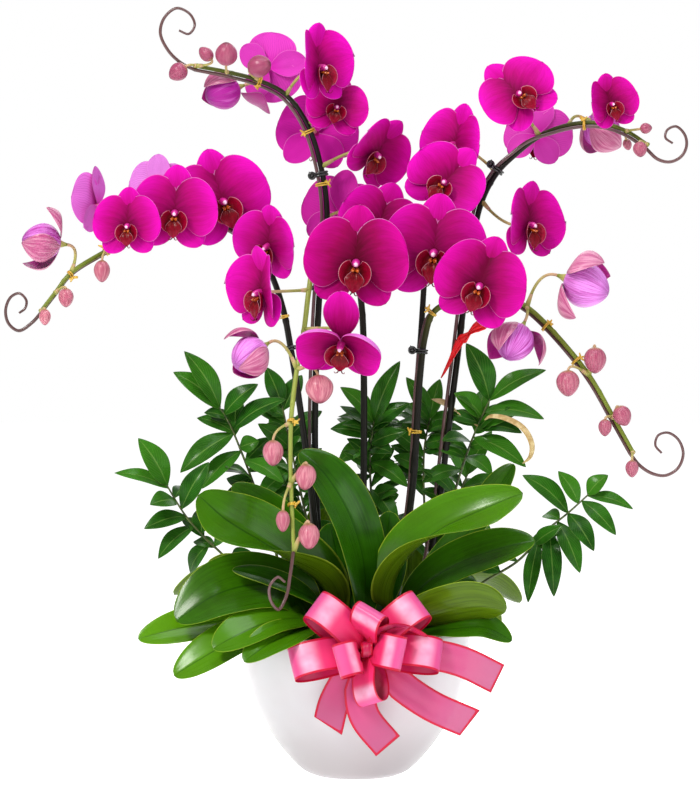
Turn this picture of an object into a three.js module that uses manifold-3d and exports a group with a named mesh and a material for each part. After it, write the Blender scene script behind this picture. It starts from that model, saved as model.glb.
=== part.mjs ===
// Potted moth orchid: five arching flower spikes with magenta blooms and pink buds, each tied to a wire
// stake that ends in a curl, over broad orchid leaves and leafy filler stems, in a white bowl pot with a
// ribbon bow. Millimetres, +Z up, the viewer stands at -Y. The origin is the centre of the pot's foot.
import * as THREE from 'three';
import { mergeVertices } from 'three/addons/utils/BufferGeometryUtils.js';
import Module from 'manifold-3d';

const { Vector3 } = THREE;
const wasm = await Module();
wasm.setup();

// Driving dimensions.
const POT_HEIGHT = 143;
const POT_WALL = 5;
const POT_SIDES = 24;
const BUD_SIDES = 5;
const MIX_TOP = 131;
const MIX_MOUND = 7;
const CLEARANCE = 0.35;
const FULL_SPAN = 108;
const STAKE_RADIUS = 1.8;
const STEM_ROOT_RADIUS = 3.5;
const STEM_TIP_RADIUS = 1.9;
const PEDICEL_RADIUS = 1.5;
const TEPAL_THICKNESS = 1.6;
const LEAF_THICKNESS = 3.2;
const LEAFLET_THICKNESS = 1.4;
const RIBBON_WIDTH = 30;
const RIBBON_THICKNESS = 1;

// Every place is laid out as a front elevation drawn from this eye point: how far across and up the thing
// is seen in the plane through the pot's axis, and how far behind that plane it stands.
const EYE = { across: -6, up: 379, away: 2600 };

const place = ([across, up, behind]) => {
  const reach = 1 + behind / EYE.away;
  return new Vector3(
    EYE.across + (across - EYE.across) * reach,
    behind,
    EYE.up + (up - EYE.up) * reach,
  );
};

const radians = THREE.MathUtils.degToRad;
const flat = (x, y, z) => new Vector3(x, y, z);

// Solids

/** A closed solid from corner points and triangles, without the triangles that collapse. */
function solid(points, triangles) {
  const kept = triangles.filter(([a, b, c]) => a !== b && b !== c && a !== c);
  return new wasm.Manifold(new wasm.Mesh({
    numProp: 3,
    vertProperties: new Float32Array(points.flatMap((p) => [p.x, p.y, p.z])),
    triVerts: new Uint32Array(kept.flat()),
  }));
}

/** A closed solid from a three.js geometry, its shared corners merged. */
function solidOf(geometry) {
  geometry.deleteAttribute('normal');
  geometry.deleteAttribute('uv');
  const merged = mergeVertices(geometry, 1e-3);
  const position = merged.attributes.position;
  const corner = (_, i) => new Vector3().fromBufferAttribute(position, i);
  const points = Array.from({ length: position.count }, corner);
  const index = Array.from(merged.index.array);
  const triangles = [];
  for (let i = 0; i < index.length; i += 3) triangles.push(index.slice(i, i + 3));
  return solid(points, triangles);
}

const unite = (solids) => solids.reduce((whole, piece) => whole.add(piece));

/** The largest body of a solid: loose scraps of a union are dropped and small sealed hollows filled. */
function oneBody(whole) {
  const bodies = whole.decompose().filter((body) => body.volume() > 0);
  return bodies.reduce((most, body) => (body.volume() > most.volume() ? body : most));
}

function geometryOf(whole) {
  const mesh = whole.getMesh();
  const corners = new Float32Array(mesh.numVert * 3);
  for (let i = 0; i < mesh.numVert; i += 1) {
    corners.set(mesh.vertProperties.subarray(i * mesh.numProp, i * mesh.numProp + 3), i * 3);
  }
  const geometry = new THREE.BufferGeometry();
  geometry.setAttribute('position', new THREE.BufferAttribute(corners, 3));
  geometry.setIndex(new THREE.BufferAttribute(mesh.triVerts, 1));
  geometry.computeVertexNormals();
  return geometry;
}

/**
 * A thin arched blade over a grid of (along, across). Only its inner points are thickened, so both faces
 * share one sharp rim and are split into triangles alike. Its first and last rows are one point each.
 */
function blade(alongs, acrosses, surface, thickness) {
  const grid = alongs.map((s) => acrosses.map((w) => surface(s, w)));
  const rows = alongs.length - 1;
  const columns = acrosses.length - 1;
  const points = [];
  const front = [];
  const back = [];
  for (let r = 0; r <= rows; r += 1) {
    front.push([]);
    back.push([]);
    for (let c = 0; c <= columns; c += 1) {
      const rim = r === 0 || r === rows || c === 0 || c === columns;
      if (rim) {
        const narrowed = r === 0 || r === rows;
        const corner = grid[r][narrowed ? columns / 2 : c];
        const shared = narrowed && c > 0 ? front[r][0] : points.push(corner.clone()) - 1;
        front[r].push(shared);
        back[r].push(shared);
      } else {
        const alongEdge = grid[r + 1][c].clone().sub(grid[r - 1][c]);
        const acrossEdge = grid[r][c + 1].clone().sub(grid[r][c - 1]);
        const half = acrossEdge.cross(alongEdge).normalize().multiplyScalar(thickness / 2);
        front[r].push(points.push(grid[r][c].clone().add(half)) - 1);
        back[r].push(points.push(grid[r][c].clone().sub(half)) - 1);
      }
    }
  }
  const triangles = [];
  for (let r = 0; r < rows; r += 1) {
    for (let c = 0; c < columns; c += 1) {
      const leaning = c < columns / 2;
      [front, back].forEach((face, turned) => {
        const [a, b, d, e] = [face[r][c], face[r][c + 1], face[r + 1][c], face[r + 1][c + 1]];
        const pair = leaning ? [[a, b, e], [a, e, d]] : [[a, b, d], [b, e, d]];
        pair.forEach((triangle) => triangles.push(turned ? triangle.reverse() : triangle));
      });
    }
  }
  return solid(points, triangles);
}

/** The way a line of stations runs at one of them. */
function tangentAt(stations, i) {
  const after = stations[Math.min(i + 1, stations.length - 1)];
  return after.clone().sub(stations[Math.max(i - 1, 0)]).normalize();
}

/** A rod of round section along stations, its radius given at each, with flat ends. */
function rod(stations, radii, sides) {
  const tangents = stations.map((_, i) => tangentAt(stations, i));
  const helper = Math.abs(tangents[0].x) < 0.8 ? flat(1, 0, 0) : flat(0, 1, 0);
  let side = helper.sub(tangents[0].clone().multiplyScalar(helper.dot(tangents[0]))).normalize();
  const points = [];
  stations.forEach((centre, i) => {
    side = side.sub(tangents[i].clone().multiplyScalar(side.dot(tangents[i]))).normalize();
    const other = tangents[i].clone().cross(side);
    for (let k = 0; k < sides; k += 1) {
      const turn = (2 * Math.PI * k) / sides;
      points.push(centre.clone()
        .addScaledVector(side, Math.cos(turn) * radii[i])
        .addScaledVector(other, Math.sin(turn) * radii[i]));
    }
  });
  const triangles = [];
  for (let i = 0; i + 1 < stations.length; i += 1) {
    for (let k = 0; k < sides; k += 1) {
      const next = (k + 1) % sides;
      const [a, b, c, d] = [i * sides + k, i * sides + next, (i + 1) * sides + k, (i + 1) * sides + next];
      triangles.push([a, b, d], [a, d, c]);
    }
  }
  const last = (stations.length - 1) * sides;
  for (let k = 1; k + 1 < sides; k += 1) {
    triangles.push([0, k + 1, k], [last, last + k, last + k + 1]);
  }
  return solid(points, triangles);
}

/** An egg-shaped body from its base along an axis, rounder at the base than at the tip. */
function egg(base, axis, length, radius, sides, profile = [[0.1, 0.55], [0.42, 1], [0.75, 0.78]]) {
  const helper = Math.abs(axis.z) < 0.8 ? flat(0, 0, 1) : flat(1, 0, 0);
  const side = new Vector3().crossVectors(axis, helper).normalize();
  const other = new Vector3().crossVectors(axis, side);
  const points = [base.clone()];
  profile.forEach(([share, girth]) => {
    for (let k = 0; k < sides; k += 1) {
      const turn = (2 * Math.PI * k) / sides;
      points.push(base.clone().addScaledVector(axis, share * length)
        .addScaledVector(side, Math.cos(turn) * girth * radius)
        .addScaledVector(other, Math.sin(turn) * girth * radius));
    }
  });
  const tip = points.push(base.clone().addScaledVector(axis, length)) - 1;
  const triangles = [];
  for (let k = 0; k < sides; k += 1) {
    const next = (k + 1) % sides;
    triangles.push([0, 1 + next, 1 + k]);
    for (let ring = 0; ring + 1 < profile.length; ring += 1) {
      const [low, high] = [1 + ring * sides, 1 + (ring + 1) * sides];
      triangles.push([low + k, low + next, high + next], [low + k, high + next, high + k]);
    }
    const crown = 1 + (profile.length - 1) * sides;
    triangles.push([crown + k, crown + next, tip]);
  }
  return solid(points, triangles);
}

/** Even steps through a smooth curve, a few between each two of its points. */
function stationsThrough(points, steps) {
  const curve = new THREE.CatmullRomCurve3(points, false, 'centripetal');
  return curve.getPoints(steps * (points.length - 1));
}

// Pot and potting mix

// Outer profile of the bowl, radius and height: a small flat foot, a round belly and an upright lip.
const POT_OUTSIDE = [
  [42, 0], [53, 5], [72, 24], [87, 45], [100, 68.5], [109, 97], [113, 124], [113, POT_HEIGHT - 1.5],
];

/** The outer profile taken in by a wall, above the pot's floor. */
function insideProfile(wall, floor, top) {
  const inner = [];
  POT_OUTSIDE.forEach(([radius, height], i) => {
    const [pr, pz] = POT_OUTSIDE[Math.max(i - 1, 0)];
    const [nr, nz] = POT_OUTSIDE[Math.min(i + 1, POT_OUTSIDE.length - 1)];
    const run = Math.hypot(nr - pr, nz - pz);
    const [r, z] = [radius - (wall * (nz - pz)) / run, height + (wall * (nr - pr)) / run];
    if (z > floor && z < top) inner.push([r, z]);
  });
  const [firstRadius] = inner[0];
  const [lastRadius] = inner[inner.length - 1];
  return [[0, floor], [firstRadius - 6, floor], ...inner, [lastRadius, top]];
}

function lathe(profile) {
  const outline = profile.map(([radius, height]) => new THREE.Vector2(radius, height));
  const geometry = new THREE.LatheGeometry(outline, POT_SIDES);
  geometry.rotateX(Math.PI / 2);
  const made = solidOf(geometry);
  return made.volume() > 0 ? made : null;
}

function pot() {
  const inner = insideProfile(POT_WALL, POT_WALL + 2, POT_HEIGHT).reverse();
  return lathe([[0, 0], ...POT_OUTSIDE, [111.5, POT_HEIGHT], ...inner]);
}

/** The mix fills the pot to a low mound, and every stem stands in a plain hole in it. */
function pottingMix(holes) {
  const sides = insideProfile(POT_WALL + CLEARANCE, POT_WALL + 2 + CLEARANCE, MIX_TOP);
  const whole = lathe([...sides, [60, MIX_TOP + MIX_MOUND * 0.7], [0, MIX_TOP + MIX_MOUND]]);
  return oneBody(holes.reduce((left, hole) => left.subtract(hole), whole));
}

// Blooms

/** Share of a blade's width along its length: it widens from its base and rounds off at its tip. */
function widthShare(s, { peak, baseCurve, tipCurve }) {
  return s < peak
    ? Math.sin((Math.PI / 2) * (s / peak)) ** baseCurve
    : Math.cos((Math.PI / 2) * Math.min((s - peak) / (1 - peak), 1)) ** tipCurve;
}

// The five tepals of a full-sized bloom: turn from straight up, length, half-width, outline, and how far
// they stand forward at the base, rise along their length, cup forward and droop at their edges.
const PETAL = { length: 52, half: 36, peak: 0.55, baseCurve: 1.1, tipCurve: 0.42, lift: 4.5, droop: 0.05 };
const SEPAL = { peak: 0.56, baseCurve: 0.95, tipCurve: 0.52, droop: 0.12 };
const DORSAL = { ...SEPAL, length: 59, half: 20, lift: 0.8 };
const LATERAL = { ...SEPAL, length: 48, half: 18.5, lift: 0.5 };
const PETAL_TURN = 79;
const LATERAL_TURN = 137;
const SEPAL_ROWS = [0, 0.34, 0.75, 1];
const PETAL_ROWS = [0, 0.27, 0.62, 0.9, 1];
const THREE_ACROSS = [-1, 0, 1];

/** One tepal in the bloom's own frame: x to its right, y to its top, z the way it faces. */
function tepal(form, turnDegrees, cup, rows, scale) {
  const turn = radians(turnDegrees);
  const along = flat(Math.sin(turn), Math.cos(turn), 0);
  const across = flat(Math.cos(turn), -Math.sin(turn), 0);
  const surface = (s, w) => {
    const half = form.half * widthShare(s, form);
    const forward = form.lift + form.length * (0.1 * s + cup * s * s) - form.droop * half * w * w;
    return flat(0, 0, forward)
      .addScaledVector(along, form.length * s * (1 - 0.5 * cup * s))
      .addScaledVector(across, half * w)
      .multiplyScalar(scale);
  };
  return blade(rows, THREE_ACROSS, surface, TEPAL_THICKNESS);
}

// The lip from its claw to its point: how wide, how far down and how far forward it is at each row. Its
// side lobes flare and cup forward beside the column, and its middle lobe narrows like a trowel.
const LIP_ROWS = [
  { half: 0, down: 0, forward: 6, cup: 0 },
  { half: 15.5, down: 9, forward: 8, cup: 9 },
  { half: 9.5, down: 19, forward: 12, cup: 1 },
  { half: 0, down: 29, forward: 8, cup: 0 },
];

function lip(scale) {
  return blade([0, 1, 2, 3], [-1, -0.5, 0, 0.5, 1], (row, w) => {
    const { half, down, forward, cup } = LIP_ROWS[row];
    const flare = cup > 5 ? 6.5 * w * w : 0;
    return flat(half * w, flare - down, forward + cup * w * w).multiplyScalar(scale);
  }, TEPAL_THICKNESS);
}

const OVARY_DEPTH = 7;

/** A whole bloom fused round its column, in its own frame. */
function bloomSolid(span, cup) {
  const scale = span / FULL_SPAN;
  const ovary = rod(
    [flat(0, 0, -OVARY_DEPTH * scale), flat(0, 0, 1.5 * scale), flat(0, -1.5 * scale, 14 * scale)],
    [PEDICEL_RADIUS, 5 * scale, 3.6 * scale],
    4,
  );
  return oneBody(unite([
    ovary,
    tepal(DORSAL, 0, 0.5 * cup - 0.04, SEPAL_ROWS, scale),
    tepal(LATERAL, LATERAL_TURN, 0.4 * cup - 0.06, SEPAL_ROWS, scale),
    tepal(LATERAL, -LATERAL_TURN, 0.4 * cup - 0.06, SEPAL_ROWS, scale),
    tepal(PETAL, PETAL_TURN, cup, PETAL_ROWS, scale),
    tepal(PETAL, -PETAL_TURN, cup, PETAL_ROWS, scale),
    lip(scale),
  ]));
}

// A flower just opening, at a span of 50: its ball of folded petals and the three sepals round it.
const OPENING = {
  span: 50,
  length: 40,
  radius: 19,
  sepalHalf: 16,
  sepalBulge: 21.5,
  form: { peak: 0.5, baseCurve: 0.8, tipCurve: 0.8 },
  turns: [0, 125, 235],
};

/** A flower just opening: a ball of folded petals held by three parted sepals, in its own frame. */
function openingBudSolid(span, spread) {
  const scale = span / OPENING.span;
  const ball = egg(flat(0, 0, 0), flat(0, 0, 1), OPENING.length * scale, OPENING.radius * scale, 7);
  const ends = [flat(0, 0, -OVARY_DEPTH * scale), flat(0, 0, 6 * scale)];
  const ovary = rod(ends, [PEDICEL_RADIUS, 5 * scale], 6);
  const sepals = OPENING.turns.map((turnDegrees, i) => {
    const turn = radians(turnDegrees);
    const out = flat(Math.sin(turn), Math.cos(turn), 0);
    const across = flat(Math.cos(turn), -Math.sin(turn), 0);
    const open = spread[i];
    return blade([0, 0.35, 0.7, 1], THREE_ACROSS, (s, w) => {
      const half = OPENING.sepalHalf * widthShare(s, OPENING.form);
      const bulge = OPENING.sepalBulge * Math.sin(Math.PI * (0.1 + 0.8 * s)) + open * 34 * s * s;
      return flat(0, 0, 1 + OPENING.length * s * (1 - 0.35 * open))
        .addScaledVector(out, bulge - (0.5 * half * half * w * w) / OPENING.sepalBulge)
        .addScaledVector(across, half * w)
        .multiplyScalar(scale);
    }, TEPAL_THICKNESS * 1.6);
  });
  return oneBody(unite([ball, ovary, ...sepals]));
}

/** The frame of a flower: facing by yaw and pitch, its top leaning in the front elevation. */
function flowerFrame(spec) {
  const [yaw, pitch, lean] = [radians(spec.yaw), radians(spec.pitch), radians(spec.lean)];
  const facing = flat(Math.sin(yaw) * Math.cos(pitch), -Math.cos(yaw) * Math.cos(pitch), Math.sin(pitch));
  const top = flat(Math.sin(lean), 0, Math.cos(lean));
  top.addScaledVector(facing, -top.dot(facing)).normalize();
  const right = new Vector3().crossVectors(top, facing);
  const matrix = new THREE.Matrix4().makeBasis(right, top, facing).setPosition(place(spec.at));
  return { matrix, facing, centre: place(spec.at) };
}

const flower = (name, spike, at, yaw, pitch, lean, span, cup) => (
  { name, spike, at, yaw, pitch, lean, span, cup }
);
const bud = (spike, at, length, width, axis = [0, 0, -1]) => ({ spike, at, length, width, axis });

// Spikes: points of the flower stem from inside the mix to its tip, then the stake's curl beyond it. The
// stake runs on the side of the stem that `side` names.
const SPIKES = {
  a: {
    stem: [[-30, 86, 22], [-41, 330, 18], [-36, 487, 14], [-29, 556, 12], [-35, 606, 12], [-49, 649, 8],
      [-70, 678, 2], [-96, 692, -6], [-129, 701, -14], [-160, 707, -22]],
    curl: [[-174, 714, -24], [-187, 726, -25], [-195, 743, -26], [-191, 758, -27], [-179, 767, -28],
      [-166, 761, -29], [-161, 749, -30], [-167, 740, -31], [-177, 743, -32]],
    side: [-0.94, 0, -0.6],
  },
  b: {
    stem: [[-22, 86, 6], [-50, 323, 4], [-65, 423, 2], [-74, 468, 0], [-88, 505, -4], [-108, 531, -8],
      [-134, 548, -13], [-170, 555, -20], [-208, 545, -28], [-250, 522, -37], [-285, 500, -44],
      [-301, 480, -48], [-315, 462, -50]],
    curl: [[-325, 451, -51], [-338, 443, -52], [-348, 450, -53], [-351, 463, -54], [-346, 476, -55],
      [-337, 480, -56], [-330, 473, -57], [-331, 465, -58], [-337, 460, -59]],
    side: [-0.1, 0.9, -0.4],
  },
  c: {
    stem: [[4, 86, -8], [8, 373, -4], [5, 473, -2], [-6, 526, -10], [-24, 541, -30], [-40, 520, -54],
      [-47, 483, -68], [-52, 443, -80], [-59, 404, -92], [-65, 350, -106], [-65, 290, -121],
      [-62, 222, -136]],
    curl: [[-65, 200, -139], [-69, 178, -143], [-77, 164, -148], [-85, 173, -155], [-86, 187, -158],
      [-78, 196, -155], [-71, 191, -150]],
    side: [-0.17, 0.98, 0],
  },
  d: {
    stem: [[42, 86, 26], [74, 213, 24], [98, 388, 20], [116, 528, 16], [126, 572, 14], [141, 600, 11],
      [160, 619, 8], [184, 637, 4], [213, 648, 0], [244, 650, -6], [270, 642, -12], [292, 628, -16]],
    curl: [[304, 617, -18], [316, 614, -19], [327, 619, -20], [332, 629, -21], [330, 640, -22],
      [321, 648, -23], [312, 644, -24], [310, 636, -25], [317, 630, -26]],
    side: [-1, -0.1, -0.6],
  },
  e: {
    stem: [[26, 86, -6], [56, 280, -8], [64, 396, -9], [69, 436, -10], [77, 460, -12], [95, 472, -15],
      [122, 480, -20], [149, 477, -27], [171, 466, -34], [195, 444, -41], [233, 398, -51], [258, 355, -58],
      [277, 321, -63]],
    curl: [[287, 309, -64], [299, 301, -65], [312, 299, -66], [324, 306, -67], [329, 320, -68],
      [324, 334, -69], [313, 341, -70], [303, 338, -71], [300, 328, -72], [306, 320, -73]],
    side: [-0.55, 0.6, -0.55],
  },
};

// Open blooms: spike, place of the column, yaw, pitch and lean in degrees, span and how far petals cup.
const BLOOMS = [
  flower('bloom_a1', 'a', [-88, 705, 22], 165, 10, 80, 78, 0.1),
  flower('bloom_a2', 'a', [-39, 705, -18], 48, 5, -8, 90, 0.3),
  flower('bloom_a3', 'a', [-20, 664, 7], 10, 15, 15, 70, 0.1),
  flower('bloom_a4', 'a', [-40, 640, 42], 172, -5, 8, 92, 0.05),
  flower('bloom_a5', 'a', [18, 620, -4], 38, -18, 40, 84, 0.25),
  flower('bloom_a6', 'a', [-17, 560, 36], 172, 0, 12, 86, 0.05),
  flower('bloom_b1', 'b', [-228, 547, -70], -5, 0, 0, 74, 0.1),
  flower('bloom_b2', 'b', [-181, 560, -54], 0, 0, 3, 91, 0.05),
  flower('bloom_b3', 'b', [-134, 571, -26], 12, 3, -18, 104, 0.05),
  flower('bloom_b4', 'b', [-257, 567, -28], -112, 0, 12, 80, 0.2),
  flower('bloom_b5', 'b', [-198, 583, 12], 172, 10, 5, 70, 0.1),
  flower('bloom_c1', 'c', [0, 510, -82], 0, 0, 6, 108, 0.03),
  flower('bloom_c2', 'c', [-14, 438, -122], -4, -36, 10, 94, 0.2),
  flower('bloom_c3', 'c', [-92, 481, -92], -52, -3, 8, 92, 0.3),
  flower('bloom_c4', 'b', [-86, 528, -44], -32, -14, 16, 84, 0.2),
  flower('bloom_c5', 'c', [22, 546, -22], 12, 8, 22, 92, 0.05),
  flower('bloom_d1', 'd', [163, 677, -30], -6, 16, -42, 86, 0.1),
  flower('bloom_d2', 'd', [100, 628, 10], -38, 4, 20, 84, 0.15),
  flower('bloom_d3', 'd', [181, 638, 38], 168, -12, 12, 78, 0.1),
  flower('bloom_d4', 'd', [171, 548, -26], 40, 2, 3, 88, 0.25),
  flower('bloom_d5', 'd', [254, 668, -30], 16, 8, -14, 64, 0.35),
  flower('bloom_e1', 'e', [124, 487, -90], -6, 0, 20, 97, 0.05),
  flower('bloom_e2', 'e', [78, 520, -58], -4, 0, 5, 112, 0.03),
  flower('bloom_e3', 'e', [88, 589, -27], 2, 12, 38, 88, 0.1),
];

// Flowers just opening, with how far each of their three sepals has parted.
const OPENINGS = [
  { ...flower('opening_a', 'a', [-124, 683, 18], -70, -20, 20, 52, 0), spread: [0.5, 0.2, 0.5] },
  { ...flower('opening_b', 'b', [-295, 529, -47], -78, 6, 20, 48, 0), spread: [0.55, 0.1, 0.3] },
  { ...flower('opening_c', 'c', [-92, 427, -100], -55, -30, -20, 48, 0), spread: [0.5, 0, 0.1] },
  { ...flower('opening_d', 'd', [232, 652, 22], 120, -25, 10, 50, 0), spread: [0.3, 0.4, 0.2] },
  { ...flower('opening_e1', 'e', [209, 495, -44], 78, 0, -6, 52, 0), spread: [0.8, 0.5, 0.7] },
  { ...flower('opening_e2', 'e', [166, 446, -54], -40, -50, 40, 50, 0), spread: [0.2, 0.6, 0.1] },
];

// Closed buds: spike, place of the base, length, width and the way they hang.
const BUDS = [
  bud('a', [-170, 707, -30], 20, 18, [-0.8, 0, -0.6]),
  bud('a', [-144, 713, -30], 17, 13, [-0.5, 0, 0.5]),
  bud('a', [-130, 708, -30], 24, 22, [0.05, -0.5, 0.85]),
  bud('a', [-106, 704, -20], 26, 22, [0.75, -0.6, 0.15]),
  bud('b', [-254, 513, -48], 22, 16),
  bud('b', [-290, 485, -56], 19, 15),
  bud('b', [-311, 464, -60], 16, 11.5),
  bud('c', [-38, 398, -108], 28, 27, [0.1, -0.2, -1]),
  bud('c', [-83, 333, -114], 25, 20),
  bud('c', [-49, 309, -126], 25, 20, [-0.1, 0, -1]),
  bud('c', [-73, 263, -134], 21, 13.5),
  bud('c', [-47, 250, -138], 25, 20),
  bud('d', [284, 644, -20], 12, 11, [1, -0.2, 0.1]),
  bud('d', [283, 631, -24], 16, 14, [0.1, -0.3, -1]),
  bud('d', [270, 634, -2], 12, 9, [0.3, 0.4, -1]),
  bud('e', [239, 426, -60], 26, 22),
  bud('e', [212, 403, -62], 26, 23),
  bud('e', [262, 367, -64], 21, 18, [0.4, 0, -0.9]),
  bud('e', [249, 354, -68], 17, 13),
  bud('e', [276, 313, -72], 17, 13),
];

const STEM_STEPS = 1;
const CURL_STEPS = 2;
const CURL_THINNING = 0.35;

/** The stem's stations from the mix to its tip, and its radius at each. */
function stemLine(spike) {
  const stations = stationsThrough(spike.stem.map(place), STEM_STEPS);
  const last = stations.length - 1;
  const radii = stations.map((_, i) => THREE.MathUtils.lerp(STEM_ROOT_RADIUS, STEM_TIP_RADIUS, i / last));
  return { stations, radii };
}

/** The stake lies a hair beside the stem all the way, and then runs on into its curl. */
function stakeLine(spike) {
  const { stations, radii } = stemLine(spike);
  const side = flat(...spike.side).normalize();
  const beside = stations.map((p, i) => {
    const tangent = tangentAt(stations, i);
    const away = side.clone().addScaledVector(tangent, -side.dot(tangent)).normalize();
    return p.clone().addScaledVector(away, radii[i] + STAKE_RADIUS + CLEARANCE);
  });
  const shift = beside[beside.length - 1].clone().sub(stations[stations.length - 1]);
  const curl = spike.curl.map((p, i) => place(p).addScaledVector(shift, 1 - i / spike.curl.length));
  const onward = stationsThrough([beside[beside.length - 1], ...curl], CURL_STEPS);
  return [...beside, ...onward.slice(1)];
}

/** A flower stalk from the nearest place on the stem to a point, arriving along a direction. */
function pedicel(spike, end, arriving, radius) {
  const { stations } = stemLine(SPIKES[spike]);
  const nearer = (best, p) => (p.distanceTo(end) < best.distanceTo(end) ? p : best);
  const nearest = stations.slice(2).reduce(nearer);
  const reach = nearest.distanceTo(end);
  const bend = end.clone().addScaledVector(arriving, -0.5 * reach);
  const curve = new THREE.QuadraticBezierCurve3(nearest, bend, end);
  const along = curve.getPoints(2);
  return rod(along, along.map(() => radius), 3);
}

function stemSolid(key) {
  const { stations, radii } = stemLine(SPIKES[key]);
  const flowers = [...BLOOMS, ...OPENINGS].filter((spec) => spec.spike === key).map((spec) => {
    const { facing, centre } = flowerFrame(spec);
    const scale = spec.spread ? spec.span / OPENING.span : spec.span / FULL_SPAN;
    const back = centre.addScaledVector(facing, -OVARY_DEPTH * scale - 2 * CLEARANCE);
    return pedicel(key, back, facing, PEDICEL_RADIUS);
  });
  const buds = BUDS.filter((spec) => spec.spike === key).flatMap((spec) => {
    const base = place(spec.at);
    const axis = flat(...spec.axis).normalize();
    return [
      pedicel(key, base.clone().addScaledVector(axis, 2), axis, PEDICEL_RADIUS * 0.85),
      egg(base, axis, spec.length, spec.width / 2, BUD_SIDES),
    ];
  });
  return oneBody(unite([rod(stations, radii, 5), ...flowers, ...buds]));
}

/** The stake thins a little along its curl. */
function stakeSolid(spike) {
  const stations = stakeLine(spike);
  const straight = stemLine(spike).stations.length;
  const thinning = (i) => CURL_THINNING * (Math.max(i - straight, 0) / (stations.length - straight));
  return rod(stations, stations.map((_, i) => STAKE_RADIUS * (1 - thinning(i))), 4);
}

// Orchid leaves

const leaf = (points, width, faces) => ({ points, width, faces });

// Each plant: its crown in the mix, and its leaves as midrib points with a width and the way the upper
// face looks.
const PLANTS = {
  front_left: {
    crown: [-42, -42],
    leaves: [
      leaf(
        [[-42, 152, -44], [-64, 180, -62], [-100, 188, -84], [-140, 178, -97], [-176, 154, -104]],
        66, [-0.15, -0.75, 0.65],
      ),
      leaf(
        [[-44, 148, -40], [-86, 160, -54], [-126, 155, -66],
          [-161, 149, -74], [-191, 141, -80], [-216, 134, -84]],
        30, [-0.1, -0.5, 0.85],
      ),
      leaf(
        [[-42, 150, -44], [-60, 160, -72], [-96, 146, -100],
          [-131, 130, -114], [-156, 116, -120], [-178, 101, -122]],
        40, [-0.3, -0.6, 0.7],
      ),
      leaf(
        [[-40, 148, -46], [-54, 154, -86], [-86, 149, -116], [-116, 137, -132], [-139, 122, -140]],
        40, [-0.2, -0.6, 0.77],
      ),
      leaf(
        [[-40, 146, -48], [-46, 147, -88], [-66, 137, -122], [-90, 124, -142], [-108, 107, -152]],
        36, [-0.2, -0.6, 0.77],
      ),
    ],
  },
  left: {
    crown: [-20, -28],
    leaves: [
      leaf(
        [[-18, 150, -30], [-34, 188, -52], [-66, 213, -70],
          [-98, 233, -84], [-131, 254, -94], [-157, 277, -98]],
        54, [0.3, -0.8, 0.5],
      ),
      leaf(
        [[-18, 150, -32], [-8, 178, -66], [-26, 193, -88], [-62, 188, -104], [-104, 174, -112]],
        26, [0.1, -0.5, 0.85],
      ),
      leaf(
        [[-20, 150, -28], [-56, 181, -46], [-81, 193, -54], [-106, 200, -58], [-129, 197, -60]],
        24, [0, -0.5, 0.85],
      ),
      leaf(
        [[-22, 150, -26], [-70, 192, -32], [-100, 207, -36], [-130, 213, -38], [-148, 211, -40]],
        18, [0, 0.5, 0.85],
      ),
      leaf([[-22, 152, -24], [-48, 215, -22], [-84, 256, -22], [-124, 288, -24]], 40, [0.3, -0.7, 0.6]),
    ],
  },
  middle: {
    crown: [8, -42],
    leaves: [
      leaf(
        [[8, 150, -44], [9, 190, -58], [5, 222, -66], [-9, 263, -72], [-31, 298, -72], [-56, 322, -66]],
        50, [0.75, -0.6, 0.25],
      ),
    ],
  },
  right: {
    crown: [42, -36],
    leaves: [
      leaf(
        [[38, 150, -40], [36, 186, -56], [52, 218, -70],
          [84, 243, -82], [124, 262, -92], [167, 278, -96]],
        47, [-0.35, -0.75, 0.55],
      ),
      leaf(
        [[44, 148, -36], [66, 185, -50], [100, 208, -62], [144, 224, -74], [177, 231, -80]],
        42, [-0.2, -0.6, 0.77],
      ),
      leaf(
        [[44, 146, -42], [62, 160, -80], [90, 170, -102], [122, 174, -114], [153, 168, -120]],
        36, [0.1, 0.55, 0.83],
      ),
      leaf(
        [[46, 144, -38], [84, 158, -72], [109, 156, -88], [134, 146, -96], [156, 131, -98]],
        30, [0.1, -0.4, 0.9],
      ),
      leaf(
        [[42, 150, -32], [84, 213, -22], [124, 253, -14], [142, 283, -12], [158, 309, -10]],
        38, [-0.5, -0.65, 0.55],
      ),
    ],
  },
  back_left: {
    crown: [-38, 44],
    leaves: [
      leaf([[-42, 148, 46], [-84, 190, 62], [-132, 198, 80], [-182, 178, 92]], 56, [-0.3, 0.45, 0.84]),
      leaf([[-38, 146, 48], [-56, 172, 90], [-82, 172, 126], [-112, 148, 154]], 54, [-0.3, 0.55, 0.78]),
      leaf([[-34, 148, 48], [-28, 204, 72], [-22, 252, 96], [-14, 284, 132]], 56, [0, 0.75, 0.66]),
    ],
  },
  back_right: {
    crown: [50, 44],
    leaves: [
      leaf([[52, 148, 46], [94, 186, 58], [144, 192, 74], [192, 168, 84]], 54, [0.3, 0.45, 0.84]),
      leaf([[52, 146, 48], [84, 172, 84], [114, 168, 118], [140, 142, 142]], 52, [0.3, 0.55, 0.78]),
      leaf([[46, 148, 48], [44, 198, 76], [40, 236, 106], [30, 254, 146]], 54, [0.1, 0.75, 0.66]),
    ],
  },
};
const CROWN_RADIUS = 9;
const CROWN_ROOT = 104;
const LEAF_FOLD = 0.16;
const LEAF_FORM = { peak: 0.6, baseCurve: 0.75, tipCurve: 0.62, least: 0.3 };
const LEAF_ROWS = [0, 0.14, 0.35, 0.58, 0.8, 0.95, 1];

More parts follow.
